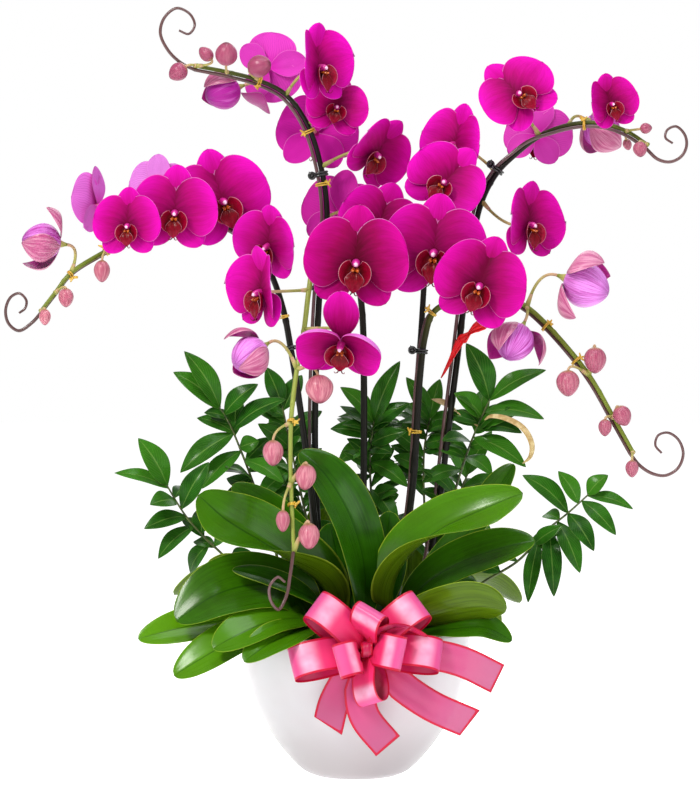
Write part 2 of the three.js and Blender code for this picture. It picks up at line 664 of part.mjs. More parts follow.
/** A leaf folded along its midrib, narrow where it leaves the crown. */
function leafSolid(spec) {
  const curve = new THREE.CatmullRomCurve3(spec.points.map(place), false, 'centripetal');
  const faces = flat(...spec.faces).normalize();
  const surface = (s, w) => {
    const tangent = curve.getTangent(s);
    const across = new Vector3().crossVectors(tangent, faces).normalize();
    const upper = new Vector3().crossVectors(across, tangent);
    const half = (spec.width / 2) * Math.max(LEAF_FORM.least, widthShare(s, LEAF_FORM));
    return curve.getPoint(s)
      .addScaledVector(across, half * w)
      .addScaledVector(upper, LEAF_FOLD * half * w * w);
  };
  return blade(LEAF_ROWS, THREE_ACROSS, surface, LEAF_THICKNESS);
}

function plantSolid(plant) {
  const [x, y] = plant.crown;
  const crown = rod(
    [flat(x, y, CROWN_ROOT), flat(x, y, MIX_TOP + 8), flat(x, y, MIX_TOP + 28)],
    [CROWN_RADIUS, CROWN_RADIUS, CROWN_RADIUS * 0.7],
    8,
  );
  return oneBody(unite([crown, ...plant.leaves.map(leafSolid)]));
}

// Leafy filler stems

const leaflet = (on, tip, width) => ({ on, tip, width });

// Stems by their points, with the leaflets that show drawn one by one: how far up the stem each is
// rooted, where its tip is and its width. The others follow a rule.
const SPRAYS = {
  far_left: {
    stem: [[-66, 88, 4], [-96, 180, -2], [-134, 219, -14],
      [-157, 241, -18], [-173, 261, -22], [-190, 289, -26]],
    leaflets: [
      leaflet(1, [-218, 335, -34], 26), leaflet(0.97, [-242, 300, -32], 17),
      leaflet(0.88, [-206, 268, -48], 23),
      leaflet(0.82, [-147, 311, -20], 22), leaflet(0.76, [-212, 244, -40], 21),
      leaflet(0.66, [-198, 214, -28], 21),
      leaflet(0.58, [-154, 266, -4], 20), leaflet(0.5, [-166, 200, -2], 21),
      leaflet(0.9, [-170, 286, 8], 15),
    ],
  },
  left: {
    stem: [[-56, 88, 22], [-80, 220, 26], [-100, 282, 24],
      [-115, 322, 22], [-127, 350, 20], [-137, 366, 18]],
    leaflets: [
      leaflet(1, [-172, 422, 10], 25), leaflet(0.98, [-183, 401, 6], 25),
      leaflet(0.9, [-98, 389, 14], 22),
      leaflet(0.86, [-152, 360, 8], 15), leaflet(0.74, [-70, 374, 4], 24),
      leaflet(0.72, [-176, 300, 2], 25),
      leaflet(0.6, [-154, 284, 6], 22), leaflet(0.7, [-118, 380, 44], 19),
      leaflet(0.55, [-72, 290, 2], 20),
      leaflet(0.46, [-134, 252, 20], 20),
    ],
  },
  centre_left: {
    stem: [[-14, 88, 34], [-44, 230, 40], [-64, 320, 44], [-74, 368, 46]],
    leaflets: [
      leaflet(1, [-90, 406, 44], 21), leaflet(0.96, [-54, 398, 58], 20),
      leaflet(0.86, [-104, 370, 60], 21),
      leaflet(0.76, [-34, 362, 52], 21), leaflet(0.66, [-96, 322, 72], 21),
      leaflet(0.58, [-26, 318, 60], 21),
      leaflet(0.5, [-92, 278, 68], 21), leaflet(0.44, [-12, 276, 62], 20),
    ],
  },
  centre: {
    stem: [[18, 88, 36], [17, 240, 36], [14, 320, 36], [18, 352, 34]],
    leaflets: [
      leaflet(1, [44, 412, 26], 22), leaflet(0.98, [-16, 386, 24], 23), leaflet(0.9, [54, 370, 20], 22),
      leaflet(0.83, [-26, 344, 24], 21), leaflet(0.76, [-18, 310, 18], 20),
      leaflet(0.7, [36, 320, 10], 21),
      leaflet(0.62, [52, 286, 18], 21), leaflet(0.56, [-20, 274, 24], 20), leaflet(0.5, [42, 246, 6], 20),
      leaflet(0.42, [-8, 232, 10], 19), leaflet(0.8, [24, 348, 76], 20), leaflet(0.6, [8, 300, 78], 20),
    ],
  },
  centre_right: {
    stem: [[72, 88, 20], [71, 200, 36], [68, 320, 54], [74, 356, 58]],
    leaflets: [
      leaflet(1, [50, 396, 54], 19), leaflet(0.98, [84, 394, 62], 19), leaflet(0.88, [104, 358, 64], 21),
      leaflet(0.78, [38, 346, 66], 21), leaflet(0.68, [98, 314, 72], 21),
      leaflet(0.58, [34, 300, 70], 21),
      leaflet(0.5, [98, 264, 72], 21), leaflet(0.44, [42, 258, 66], 20),
    ],
  },
  right: {
    stem: [[84, 88, 30], [88, 220, 30], [100, 285, 26], [114, 328, 22], [124, 352, 18], [134, 374, 14]],
    leaflets: [
      leaflet(1, [110, 430, 8], 29), leaflet(0.98, [190, 403, 6], 22), leaflet(0.88, [188, 354, 2], 25),
      leaflet(0.84, [98, 380, 4], 24), leaflet(0.74, [166, 340, 0], 22),
      leaflet(0.66, [170, 306, -4], 24),
      leaflet(0.62, [86, 332, -4], 21), leaflet(0.54, [136, 298, 0], 21),
      leaflet(0.7, [130, 386, 46], 20),
      leaflet(0.48, [66, 290, 6], 20),
    ],
  },
  far_right: {
    stem: [[70, 88, 6], [110, 176, 0], [163, 213, -12],
      [191, 243, -18], [212, 260, -22], [233, 279, -28]],
    leaflets: [
      leaflet(1, [252, 298, -30], 20), leaflet(0.98, [277, 264, -36], 16),
      leaflet(0.93, [260, 238, -44], 19),
      leaflet(0.9, [202, 302, -26], 19), leaflet(0.8, [166, 298, -22], 25),
      leaflet(0.8, [238, 222, -44], 21),
      leaflet(0.7, [224, 200, -40], 21), leaflet(0.62, [198, 176, -36], 20),
      leaflet(0.54, [172, 170, -30], 17),
      leaflet(0.72, [188, 258, 4], 17),
    ],
  },
  rear_left: {
    stem: [[-8, 88, 74], [-34, 200, 104], [-58, 276, 118], [-70, 316, 122]],
    leaflets: [
      leaflet(1, [-86, 360, 118], 21), leaflet(0.96, [-44, 352, 132], 21),
      leaflet(0.86, [-106, 316, 130], 21),
      leaflet(0.78, [-26, 300, 138], 21), leaflet(0.68, [-100, 260, 140], 21),
      leaflet(0.58, [-88, 226, 98], 20),
      leaflet(0.48, [-76, 206, 134], 20),
    ],
  },
  rear_right: {
    stem: [[22, 88, 76], [66, 196, 104], [96, 262, 114], [112, 300, 118]],
    leaflets: [
      leaflet(1, [136, 342, 112], 21), leaflet(0.96, [90, 344, 128], 21),
      leaflet(0.86, [152, 290, 128], 21),
      leaflet(0.78, [66, 300, 134], 21), leaflet(0.68, [136, 240, 136], 21),
      leaflet(0.58, [58, 226, 152], 20),
      leaflet(0.48, [112, 192, 132], 20),
    ],
  },
};
const SPRAY_STEM_RADIUS = 1.6;
const HIGHEST_LEAFLET = 0.985;
const LEAFLET_FORM = { peak: 0.46, baseCurve: 0.8, tipCurve: 0.8, least: 0.1 };
const LEAFLET_ROWS = [0, 0.3, 0.62, 1];

/** A pointed leaflet that arches down to its tip, its root sunk into the stem. */
function leafletSolid(root, tip, width) {
  const line = tip.clone().sub(root);
  const length = line.length();
  const along = line.clone().normalize();
  const toViewer = flat(0, -0.75, 0.66);
  const across = new Vector3().crossVectors(along, toViewer).normalize();
  const upper = new Vector3().crossVectors(across, along);
  return blade(LEAFLET_ROWS, THREE_ACROSS, (s, w) => {
    const half = (width / 2) * Math.max(LEAFLET_FORM.least, widthShare(s, LEAFLET_FORM));
    return root.clone().addScaledVector(along, length * s)
      .addScaledVector(across, half * w)
      .addScaledVector(upper, 0.12 * length * Math.sin(Math.PI * s) + 0.2 * half * w * w);
  }, LEAFLET_THICKNESS);
}

function sprayLine(spray) {
  const stations = stationsThrough(spray.stem.map(place), 1);
  const last = stations.length - 1;
  return { stations, radii: stations.map((_, i) => SPRAY_STEM_RADIUS * (1 - 0.45 * (i / last))) };
}

function spraySolid(spray) {
  const { stations, radii } = sprayLine(spray);
  const curve = new THREE.CatmullRomCurve3(spray.stem.map(place), false, 'centripetal');
  const leaflets = spray.leaflets.map(({ on, tip, width }) => (
    leafletSolid(curve.getPoint(Math.min(on, HIGHEST_LEAFLET)), place(tip), width)
  ));
  return oneBody(unite([rod(stations, radii, 4), ...leaflets]));
}

// Ribbon bow

// The knot is a short gathered stub that stands out from the pot's wall, a hair clear of its glaze.
const KNOT = { across: 11, up: 124, front: -134, radius: 7.5 };

// Loops: the way they point in the front elevation, how far forward they lean, how far they are rolled to
// show their opening, and their length, opening and width.
const BOW_LOOPS = [
  { turn: -44, forward: 0.1, roll: 22, length: 68, open: 13, width: 34 },
  { turn: 7, forward: 0.3, roll: 12, length: 50, open: 9, width: 26 },
  { turn: 52, forward: 0.1, roll: -22, length: 68, open: 13, width: 34 },
  { turn: -94, forward: 0.2, roll: 24, length: 74, open: 12, width: 34 },
  { turn: 92, forward: 0.2, roll: -24, length: 68, open: 12, width: 32 },
  { turn: -122, forward: 1.1, roll: 0, length: 44, open: 11, width: 27 },
  { turn: 118, forward: 1.3, roll: 0, length: 42, open: 10, width: 27 },
  { turn: 177, forward: 0.35, roll: 8, length: 50, open: 10, width: 27 },
];
const LOOP_STEPS = 7;
const LOOP_ROOT = 3;

// Tails: points of their middle line in the front elevation, from the knot to the cut end.
const BOW_TAILS = [
  [[10, 123, -124], [-8, 96, -120], [-22, 70, -118], [-28, 47, -118]],
  [[11, 123, -124], [4, 88, -124], [8, 58, -124], [32, 27, -122]],
  [[12, 123, -124], [40, 92, -124], [74, 68, -126], [114, 50, -128]],
  [[12, 124, -124], [60, 121, -122], [104, 112, -122], [142, 94, -118]],
];
const TAIL_SECTION = [[-1, -1], [1, -1], [1, 1], [-1, 1]];

/** A closed band through rings of four corners each; `looped` joins the last ring to the first. */
function band(rings, looped) {
  const points = rings.flat();
  const triangles = [];
  const spans = looped ? rings.length : rings.length - 1;
  for (let i = 0; i < spans; i += 1) {
    const [here, next] = [i * 4, ((i + 1) % rings.length) * 4];
    for (let k = 0; k < 4; k += 1) {
      const n = (k + 1) % 4;
      triangles.push([here + k, here + n, next + n], [here + k, next + n, next + k]);
    }
  }
  if (!looped) {
    const last = (rings.length - 1) * 4;
    triangles.push([0, 2, 1], [0, 3, 2], [last, last + 1, last + 2], [last, last + 2, last + 3]);
  }
  const made = solid(points, triangles);
  return made.volume() < 0 ? solid(points, triangles.map((corners) => [...corners].reverse())) : made;
}

/** A loop of ribbon: a teardrop band that leaves the knot, turns back and returns to it. */
function loopSolid(spec) {
  const [turn, roll] = [radians(spec.turn), radians(spec.roll)];
  const out = flat(Math.sin(turn), -spec.forward, Math.cos(turn)).normalize();
  const level = flat(Math.cos(turn), 0, -Math.sin(turn));
  const raised = new Vector3().crossVectors(level, out);
  const across = level.clone().multiplyScalar(Math.cos(roll)).addScaledVector(raised, Math.sin(roll));
  const lift = raised.clone().multiplyScalar(Math.cos(roll)).addScaledVector(level, -Math.sin(roll));
  const knot = place([KNOT.across, KNOT.up, KNOT.front + 6]);
  const rings = Array.from({ length: LOOP_STEPS }, (_, i) => {
    const angle = (2 * Math.PI * (i + 0.5)) / LOOP_STEPS;
    const reach = (1 - Math.cos(angle)) / 2;
    const swell = Math.sin(angle) * (0.3 + 0.7 * reach);
    const half = (spec.width / 2) * Math.min(1, 0.15 + reach * 1.1);
    return [[-1, 1], [1, 1], [1, 0], [-1, 0]].map(([end, outer]) => knot.clone()
      .addScaledVector(out, LOOP_ROOT + (spec.length - LOOP_ROOT - (1 - outer) * RIBBON_THICKNESS) * reach)
      .addScaledVector(lift, (spec.open - (1 - outer) * RIBBON_THICKNESS) * swell)
      .addScaledVector(across, end * half));
  });
  return band(rings, true);
}

function tailSolid(points) {
  const stations = stationsThrough(points.map(place), 1);
  const rings = stations.map((p, i) => {
    const tangent = tangentAt(stations, i);
    const across = new Vector3().crossVectors(tangent, flat(0, 1, 0)).normalize();
    const through = new Vector3().crossVectors(tangent, across);
    const half = (RIBBON_WIDTH / 2) * Math.min(1, 0.2 + i * 0.7);
    return TAIL_SECTION.map(([side, face]) => p.clone()
      .addScaledVector(across, side * half)
      .addScaledVector(through, (face * RIBBON_THICKNESS) / 2));
  });
  return band(rings, false);
}

function bowSolid() {
  const centre = place([KNOT.across, KNOT.up, KNOT.front]);
  const wall = -Math.sqrt(POT_OUTSIDE[6][0] ** 2 - centre.x ** 2) - CLEARANCE;
  const knot = rod(
    [wall, centre.y + 6, centre.y - 4].map((y) => flat(centre.x, y, centre.z)),
    [KNOT.radius * 0.7, KNOT.radius, KNOT.radius * 0.5],
    6,
  );
  return oneBody(unite([knot, ...BOW_LOOPS.map(loopSolid), ...BOW_TAILS.map(tailSolid)]));
}

// The whole

const paint = (color, roughness) => new THREE.MeshStandardMaterial({ color, roughness, metalness: 0 });
const GLAZE = paint(0xf2f1f4, 0.25);
const BARK = paint(0x4a3526, 0.95);
const PETAL_PAINT = paint(0xb8047c, 0.5);
const BUD_PAINT = paint(0xd9708f, 0.55);
const STEM_PAINT = paint(0x4d5322, 0.5);
const STAKE_PAINT = paint(0x4a2f2c, 0.4);
const LEAF_PAINT = paint(0x2f6a12, 0.3);
const FILLER_PAINT = paint(0x2c5f24, 0.35);
const RIBBON_PAINT = paint(0xf0407f, 0.35);

const group = new THREE.Group();

function addNode(name, whole, material) {
  const mesh = new THREE.Mesh(geometryOf(whole), material);
  mesh.name = name;
  group.add(mesh);
}

/** A plain hole round a stem below the top of the mix. */
function holeRound(stations, radius, sides) {
  const above = stations.findIndex((p) => p.z > MIX_TOP + MIX_MOUND);
  const start = stations[0].clone().add(stations[0].clone().sub(stations[1]).normalize());
  const line = [start, ...stations.slice(1, above + 1)];
  return rod(line, line.map(() => radius + CLEARANCE * 1.5), sides);
}

const holes = [];
Object.entries(SPIKES).forEach(([key, spike]) => {
  addNode(`stem_${key}`, stemSolid(key), STEM_PAINT);
  addNode(`stake_${key}`, stakeSolid(spike), STAKE_PAINT);
  holes.push(holeRound(stemLine(spike).stations, STEM_ROOT_RADIUS, 5));
  holes.push(holeRound(stakeLine(spike), STAKE_RADIUS, 4));
});
BLOOMS.forEach((spec) => {
  const turned = geometryOf(bloomSolid(spec.span, spec.cup)).applyMatrix4(flowerFrame(spec).matrix);
  addNode(spec.name, solidOf(turned), PETAL_PAINT);
});
OPENINGS.forEach((spec) => {
  const turned = geometryOf(openingBudSolid(spec.span, spec.spread)).applyMatrix4(flowerFrame(spec).matrix);
  addNode(spec.name, solidOf(turned), BUD_PAINT);
});
Object.entries(PLANTS).forEach(([key, plant]) => {
  addNode(`orchid_leaves_${key}`, plantSolid(plant), LEAF_PAINT);
  const [x, y] = plant.crown;
  const reach = [CROWN_ROOT - CLEARANCE, MIX_TOP + 30].map((z) => flat(x, y, z));
  holes.push(rod(reach, reach.map(() => CROWN_RADIUS + CLEARANCE), 8));
});
Object.entries(SPRAYS).forEach(([key, spray]) => {
  addNode(`filler_${key}`, spraySolid(spray), FILLER_PAINT);
  holes.push(holeRound(sprayLine(spray).stations, SPRAY_STEM_RADIUS, 4));
});
addNode('ribbon_bow', bowSolid(), RIBBON_PAINT);
addNode('pot', pot(), GLAZE);
addNode('potting_mix', pottingMix(holes), BARK);

export default group;
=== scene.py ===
"""Potted moth orchid: finer flowers, leaves, stems, bowl and bow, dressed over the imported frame.

Lengths in the tables are millimetres in the frame of the part: +Z up, the viewer at -Y, and the origin at
the centre of the bowl's foot. Meshes are made in metres.
"""
import logging
import math
from collections.abc import Callable, Sequence
from dataclasses import dataclass
from enum import Enum
from typing import Any, ClassVar

import bpy
import numpy as np
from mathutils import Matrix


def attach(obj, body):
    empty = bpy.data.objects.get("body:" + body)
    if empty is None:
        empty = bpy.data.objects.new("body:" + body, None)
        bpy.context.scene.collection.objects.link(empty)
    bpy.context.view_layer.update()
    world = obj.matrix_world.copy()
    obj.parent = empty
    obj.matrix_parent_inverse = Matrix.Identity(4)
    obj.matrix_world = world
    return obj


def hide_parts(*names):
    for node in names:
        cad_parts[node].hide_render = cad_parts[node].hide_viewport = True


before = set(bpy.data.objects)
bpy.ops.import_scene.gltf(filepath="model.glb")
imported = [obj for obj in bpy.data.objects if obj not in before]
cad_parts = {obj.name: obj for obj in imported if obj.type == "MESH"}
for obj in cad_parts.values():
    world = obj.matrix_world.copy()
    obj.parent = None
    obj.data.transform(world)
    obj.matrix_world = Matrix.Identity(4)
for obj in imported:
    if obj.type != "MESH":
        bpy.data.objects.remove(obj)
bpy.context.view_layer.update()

Array = np.ndarray
Surface = Callable[[Array, Array], Array]
Point = tuple[float, float, float]
Stops = tuple[tuple[float, str], ...]

logging.basicConfig(level=logging.INFO, format="%(message)s")
log = logging.getLogger("orchid")

MM = 0.001
CLEARANCE = 0.35
STEM_ROOT_RADIUS = 3.5
STEM_TIP_RADIUS = 1.9
UP = np.array([0.0, 0.0, 1.0])

# Everything is drawn as a front elevation from this eye point, as it is in the part: how far across and up
# a thing is seen in the plane through the bowl's axis, and how far behind that plane it stands.
EYE_ACROSS = -6.0
EYE_UP = 379.0
EYE_AWAY = 2600.0
PHOTO_HEIGHT_PX = 788


class Slot(Enum):
    """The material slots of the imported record."""

    GLAZE = "pot_glaze"
    MIX = "potting_mix"
    STEM = "flower_stem"
    WIRE = "wire_stake"
    PETAL = "petal"
    BUD = "bud"
    LEAF = "orchid_leaf"
    FILLER = "filler_leaf"
    RIBBON = "ribbon"


# Lines and surfaces


def unit(vectors: Array) -> Array:
    """Vectors brought to length one; a null vector stays null."""
    return vectors / np.maximum(np.linalg.norm(vectors, axis=-1, keepdims=True), 1e-9)


def even(count: int) -> Array:
    """So many even steps from 0 to 1."""
    return np.linspace(0, 1, count)


def place(drawn: Sequence | Array) -> Array:
    """Puts drawn places into space.

    Args:
        drawn: Places as across, up and behind, in the last axis.

    Returns:
        The same places as x, y and z.
    """
    drawn = np.asarray(drawn, float)
    reach = 1 + drawn[..., 2:] / EYE_AWAY
    eye = np.array([EYE_ACROSS, EYE_UP])
    seen = eye + (drawn[..., :2] - eye) * reach
    return np.concatenate([seen[..., :1], drawn[..., 2:], seen[..., 1:]], axis=-1)


def seen_at(points: Array) -> Array:
    """Where places in space are seen from the eye point: across and up."""
    eye = np.array([EYE_ACROSS, EYE_UP])
    return eye + (points[..., [0, 2]] - eye) / (1 + points[..., 1:2] / EYE_AWAY)


def curve_at(points: Array, shares: Array) -> Array:
    """Points of the smooth centripetal curve that runs through given points.

    Args:
        points: The points that the curve passes.
        shares: Places along it from 0 to 1, each span between two points counting the same.

    Returns:
        One point for each share.
    """
    spans = len(points) - 1
    run = np.clip(shares, 0, 1) * spans
    index = np.clip(np.floor(run).astype(int), 0, spans - 1)
    t = (run - index)[..., None]
    padded = np.vstack([2 * points[0] - points[1], points, 2 * points[-1] - points[-2]])
    a, b, c, d = (padded[index + k] for k in range(4))
    first, second, third = (
        np.sqrt(np.linalg.norm(q - p, axis=-1, keepdims=True)) for p, q in ((a, b), (b, c), (c, d))
    )
    leaving = ((b - a) / first - (c - a) / (first + second) + (c - b) / second) * second
    arriving = ((c - b) / second - (d - b) / (second + third) + (d - c) / third) * second
    square = 3 * (c - b) - 2 * leaving - arriving
    cube = 2 * (b - c) + leaving + arriving
    return b + leaving * t + square * t**2 + cube * t**3


def heading_at(points: Array, shares: Array) -> Array:
    """The way the same curve runs at each share, at length one."""
    step = 1e-3
    ahead, behind = np.minimum(shares + step, 1), np.maximum(shares - step, 0)
    return unit(curve_at(points, ahead) - curve_at(points, behind))


def steps_along(line: Array) -> Array:
    """Lengths of the steps from each point of a line to the next."""
    return np.linalg.norm(np.diff(line, axis=0), axis=-1)


def shifted(points: Array, *moves: tuple[Array, Array]) -> Array:
    """Points moved along some directions, each move a direction and its amounts."""
    for way, amount in moves:
        points = points + way * amount[..., None]
    return points


def bow_of(start: Array, bend: Array, end: Array, count: int) -> Array:
    """Points of a quadratic curve from start to end, drawn towards bend."""
    t = even(count)[:, None]
    return start * (1 - t) ** 2 + bend * 2 * t * (1 - t) + end * t**2


def width_share(s: Array, peak: float, base_curve: float, tip_curve: float) -> Array:
    """Share of a blade's width along its length.

    Args:
        s: Places along it from 0 to 1.
        peak: Where it is widest.
        base_curve: Less than 1 makes its base fuller, more makes it narrower.
        tip_curve: The same for its tip.

    Returns:
        Shares from 0 to 1.
    """
    rising = np.sin(np.pi / 2 * np.clip(s / peak, 0, 1)) ** base_curve
    falling = np.cos(np.pi / 2 * np.clip((s - peak) / (1 - peak), 0, 1)) ** tip_curve
    return np.where(s < peak, rising, np.where(s < 1, falling, 0.0))


def quads(rows: int, columns: int, around: bool = False) -> Array:
    """Four-cornered faces of a grid of corners.

    Args:
        rows: Corners one way.
        columns: Corners the other way.
        around: Whether the last column joins the first.

    Returns:
        Corner numbers, one face a row.
    """
    r = np.arange(rows - 1)[:, None] * columns
    c = np.arange(columns if around else columns - 1)[None, :]
    n = (c + 1) % columns
    return np.stack([r + c, r + n, r + n + columns, r + c + columns], axis=-1).reshape(-1, 4)


class Shape:
    """Corners and faces of one piece as it grows, with what its finishes read at each corner.

    A corner carries two vectors. `where` is how far along the blade or rod it is, or how far up the bowl,
    then how far across, and which face it is on: 0 front, 0.5 rim, 1 back. `tone` is two free numbers and
    the distance to the rim.
    """

    weld: float = 1e-3
    rod_rim: float = 10.0

    def __init__(self) -> None:
        """Starts empty."""
        self.corners: list[Array] = []
        self.where: list[Array] = []
        self.tone: list[Array] = []
        self.quads: list[Array] = []
        self.triangles: list[Array] = []
        self.quad_finish: list[Array] = []
        self.triangle_finish: list[Array] = []
        self.count = 0

    def add(self, corners: Array, faces: Array, where: Array, tone: Array, finish: int) -> None:
        """Adds one body, its coincident corners welded and its collapsed faces dropped.

        Args:
            corners: Its corners in millimetres.
            faces: Four corner numbers a face.
            where: One vector a corner.
            tone: One vector a corner.
            finish: The number of its finish among those of the piece.
        """
        keys = np.round(corners / self.weld).astype(np.int64)
        _, first, back = np.unique(keys, axis=0, return_index=True, return_inverse=True)
        faces = back.reshape(-1)[faces]
        same = faces == np.roll(faces, -1, axis=1)
        crossed = (faces[:, 0] == faces[:, 2]) | (faces[:, 1] == faces[:, 3])
        whole = (same.sum(axis=1) == 0) & ~crossed
        thirds = (same.sum(axis=1) == 1) & ~crossed
        triangles = faces[thirds][~same[thirds]].reshape(-1, 3)
        self.quads.append(faces[whole] + self.count)
        self.triangles.append(triangles + self.count)
        self.quad_finish.append(np.full(int(whole.sum()), finish))
        self.triangle_finish.append(np.full(len(triangles), finish))
        self.corners.append(corners[first])
        self.where.append(where[first])
        self.tone.append(tone[first])
        self.count += len(first)

    def blade(self, surface: Surface, rows: int, columns: int, thickness: float,
              finish: int = 0, tone: tuple[float, float] = (0.0, 0.0)) -> None:
        """Adds a thin blade whose two faces meet in a sharp rim.

        Args:
            surface: Its middle as a function of along (0 to 1) and across (-1 to 1).
            rows: Corners along it.
            columns: Corners across it.
            thickness: Thickness away from the rim.
            finish: The number of its finish.
            tone: Two free numbers that the finish reads.
        """
        crowded = 0.5 - 0.5 * np.cos(np.pi * even(rows))
        along = 0.45 * even(rows) + 0.55 * crowded
        across = np.sin(np.linspace(-np.pi / 2, np.pi / 2, columns))
        s, w = np.meshgrid(along, across, indexing="ij")
        middle = surface(s, w)
        normal = unit(np.cross(np.gradient(middle, axis=1), np.gradient(middle, axis=0)))
        fullness = (1 - np.abs(w) ** 6) * (1 - np.abs(2 * s - 1) ** 14)
        half = (normal * (thickness / 2 * fullness)[..., None]).reshape(-1, 3)
        flat = middle.reshape(-1, 3)
        widths = np.linalg.norm(middle[:, -1] - middle[:, 0], axis=-1)[:, None]
        length = float(steps_along(middle[:, columns // 2]).sum())
        rim = np.minimum((1 - np.abs(w)) * widths / 2, (1 - s) * length).reshape(-1)
        inner = fullness.reshape(-1) > 1e-9
        faces = quads(rows, columns)
        where, shade = [], []
        for face in (0.0, 1.0):
            where.append(np.stack([s.reshape(-1), w.reshape(-1), np.where(inner, face, 0.5)], axis=-1))
            shade.append(np.stack([np.full(rim.shape, tone[0]), np.full(rim.shape, tone[1]), rim], axis=-1))
        both = np.vstack([faces, faces[:, ::-1] + len(flat)])
        self.add(np.vstack([flat + half, flat - half]), both, np.vstack(where), np.vstack(shade), finish)

    def tube(self, line: Array, radii: Array | float, sides: int, finish: int = 0,
             tone: tuple[float, float] = (0.0, 0.0), ribs: Array | None = None) -> None:
        """Adds a round rod along a line, with closed ends.

        Args:
            line: Points of its middle.
            radii: Its radius, or one radius a point.
            sides: Corners round it.
            finish: The number of its finish.
            tone: Two free numbers that the finish reads.
            ribs: Shares of the radius round it, for a fluted section.
        """
        line = np.asarray(line, float)
        radii = np.broadcast_to(np.asarray(radii, float), (len(line),))
        headings = unit(np.gradient(line, axis=0))
        helper = np.array([1.0, 0, 0]) if abs(headings[0, 0]) < 0.8 else np.array([0, 1.0, 0])
        side = unit(helper - headings[0] * helper.dot(headings[0]))
        sides_of = []
        for heading in headings:
            side = unit(side - heading * side.dot(heading))
            sides_of.append(side)
        one = np.array(sides_of)
        other = np.cross(headings, one)
        turn = 2 * np.pi * np.arange(sides) / sides
        section = np.ones(sides) if ribs is None else ribs
        ring = one[:, None] * np.cos(turn)[:, None] + other[:, None] * np.sin(turn)[:, None]
        body = line[:, None] + ring * (radii[:, None] * section[None])[..., None]
        ends = [np.repeat(line[k][None, None], sides, axis=1) for k in (0, -1)]
        corners = np.concatenate([ends[0], body, ends[1]])
        steps = np.concatenate([[0], np.cumsum(steps_along(line))])
        along = np.concatenate([[0], steps / max(steps[-1], 1e-9), [1]])
        across = 1 - 2 * np.abs(1 - 2 * np.arange(sides) / sides)
        s, w = np.meshgrid(along, across, indexing="ij")
        count = s.size
        where = np.stack([s.reshape(-1), w.reshape(-1), np.zeros(count)], axis=-1)
        shade = np.tile(np.array([*tone, self.rod_rim]), (count, 1))
        self.add(corners.reshape(-1, 3), quads(len(corners), sides, around=True), where, shade, finish)

    def egg(self, base: Array, axis: Array, length: float, radius: float, finish: int = 0,
            tone: tuple[float, float] = (0.0, 0.0), ribs: Array | None = None, sides: int = 24,
            rows: int = 18) -> None:
        """Adds an egg-shaped body, rounder at its base than at its tip.

        Args:
            base: Its lowest point.
            axis: The way it stands, at length one.
            length: Its length.
            radius: Its greatest radius.
            finish: The number of its finish.
            tone: Two free numbers that the finish reads.
            ribs: Shares of the radius round it.
            sides: Corners round it.
            rows: Rings along it.
        """
        s = 0.5 - 0.5 * np.cos(np.pi * np.linspace(0.02, 0.985, rows))
        girth = np.sin(np.pi * s**0.86) ** 0.56
        line = base + axis * (s * length)[:, None]
        self.tube(line, radius * girth, sides, finish, tone, ribs)

    def turn(self, matrix: Array, origin: Array) -> None:
        """Turns and moves everything added so far; the rows of matrix are the new axes."""
        self.corners = [corners @ matrix + origin for corners in self.corners]

    def build(self, name: str, finishes: Sequence[bpy.types.Material]) -> bpy.types.Object:
        """Makes the piece.

        Args:
            name: Its name.
            finishes: Its materials, by finish number.

        Returns:
            The object, at the origin and in metres.
        """
        four, three = np.vstack(self.quads), np.vstack(self.triangles)
        corners = np.vstack(self.corners) * MM
        mesh = bpy.data.meshes.new(name)
        mesh.vertices.add(len(corners))
        mesh.vertices.foreach_set("co", corners.ravel())
        mesh.loops.add(four.size + three.size)
        mesh.loops.foreach_set("vertex_index", np.concatenate([four.ravel(), three.ravel()]))
        starts = np.concatenate([np.arange(len(four)) * 4, four.size + np.arange(len(three)) * 3])
        mesh.polygons.add(len(starts))
        mesh.polygons.foreach_set("loop_start", starts)
        slots = np.concatenate(self.quad_finish + self.triangle_finish)
        for finish in finishes:
            mesh.materials.append(finish)
        mesh.polygons.foreach_set("material_index", slots)
        mesh.polygons.foreach_set("use_smooth", np.ones(len(starts), bool))
        mesh.update(calc_edges=True)
        for key, values in (("where", self.where), ("tone", self.tone)):
            layer = mesh.attributes.new(key, "FLOAT_VECTOR", "POINT")
            layer.data.foreach_set("vector", np.vstack(values).ravel())
        piece = bpy.data.objects.new(name, mesh)
        bpy.context.collection.objects.link(piece)
        return piece


# Finishes


def tint(code: str) -> tuple[float, float, float, float]:
    """A colour from its six-digit screen code, as linear light."""
    channels = [int(code[k:k + 2], 16) / 255 for k in (0, 2, 4)]
    linear = [c / 12.92 if c <= 0.04045 else ((c + 0.055) / 1.055) ** 2.4 for c in channels]
    return (*linear, 1.0)


class Term:
    """A value in a material's nodes, so that a finish reads as arithmetic."""

    def __init__(self, paint: "Paint", socket: bpy.types.NodeSocket) -> None:
        """Wraps a socket of a paint's nodes."""
        self.paint = paint
        self.socket = socket

    def __add__(self, other: "Term | float") -> "Term":
        """Sum."""
        return self.paint.math("ADD", self, other)

    __radd__ = __add__

    def __sub__(self, other: "Term | float") -> "Term":
        """Difference."""
        return self.paint.math("SUBTRACT", self, other)

    def __rsub__(self, other: float) -> "Term":
        """Difference from a number."""
        return self.paint.math("SUBTRACT", other, self)

    def __mul__(self, other: "Term | float") -> "Term":
        """Product."""
        return self.paint.math("MULTIPLY", self, other)

    __rmul__ = __mul__

    def __abs__(self) -> "Term":
        """Size without sign."""
        return self.paint.math("ABSOLUTE", self, 0.0)


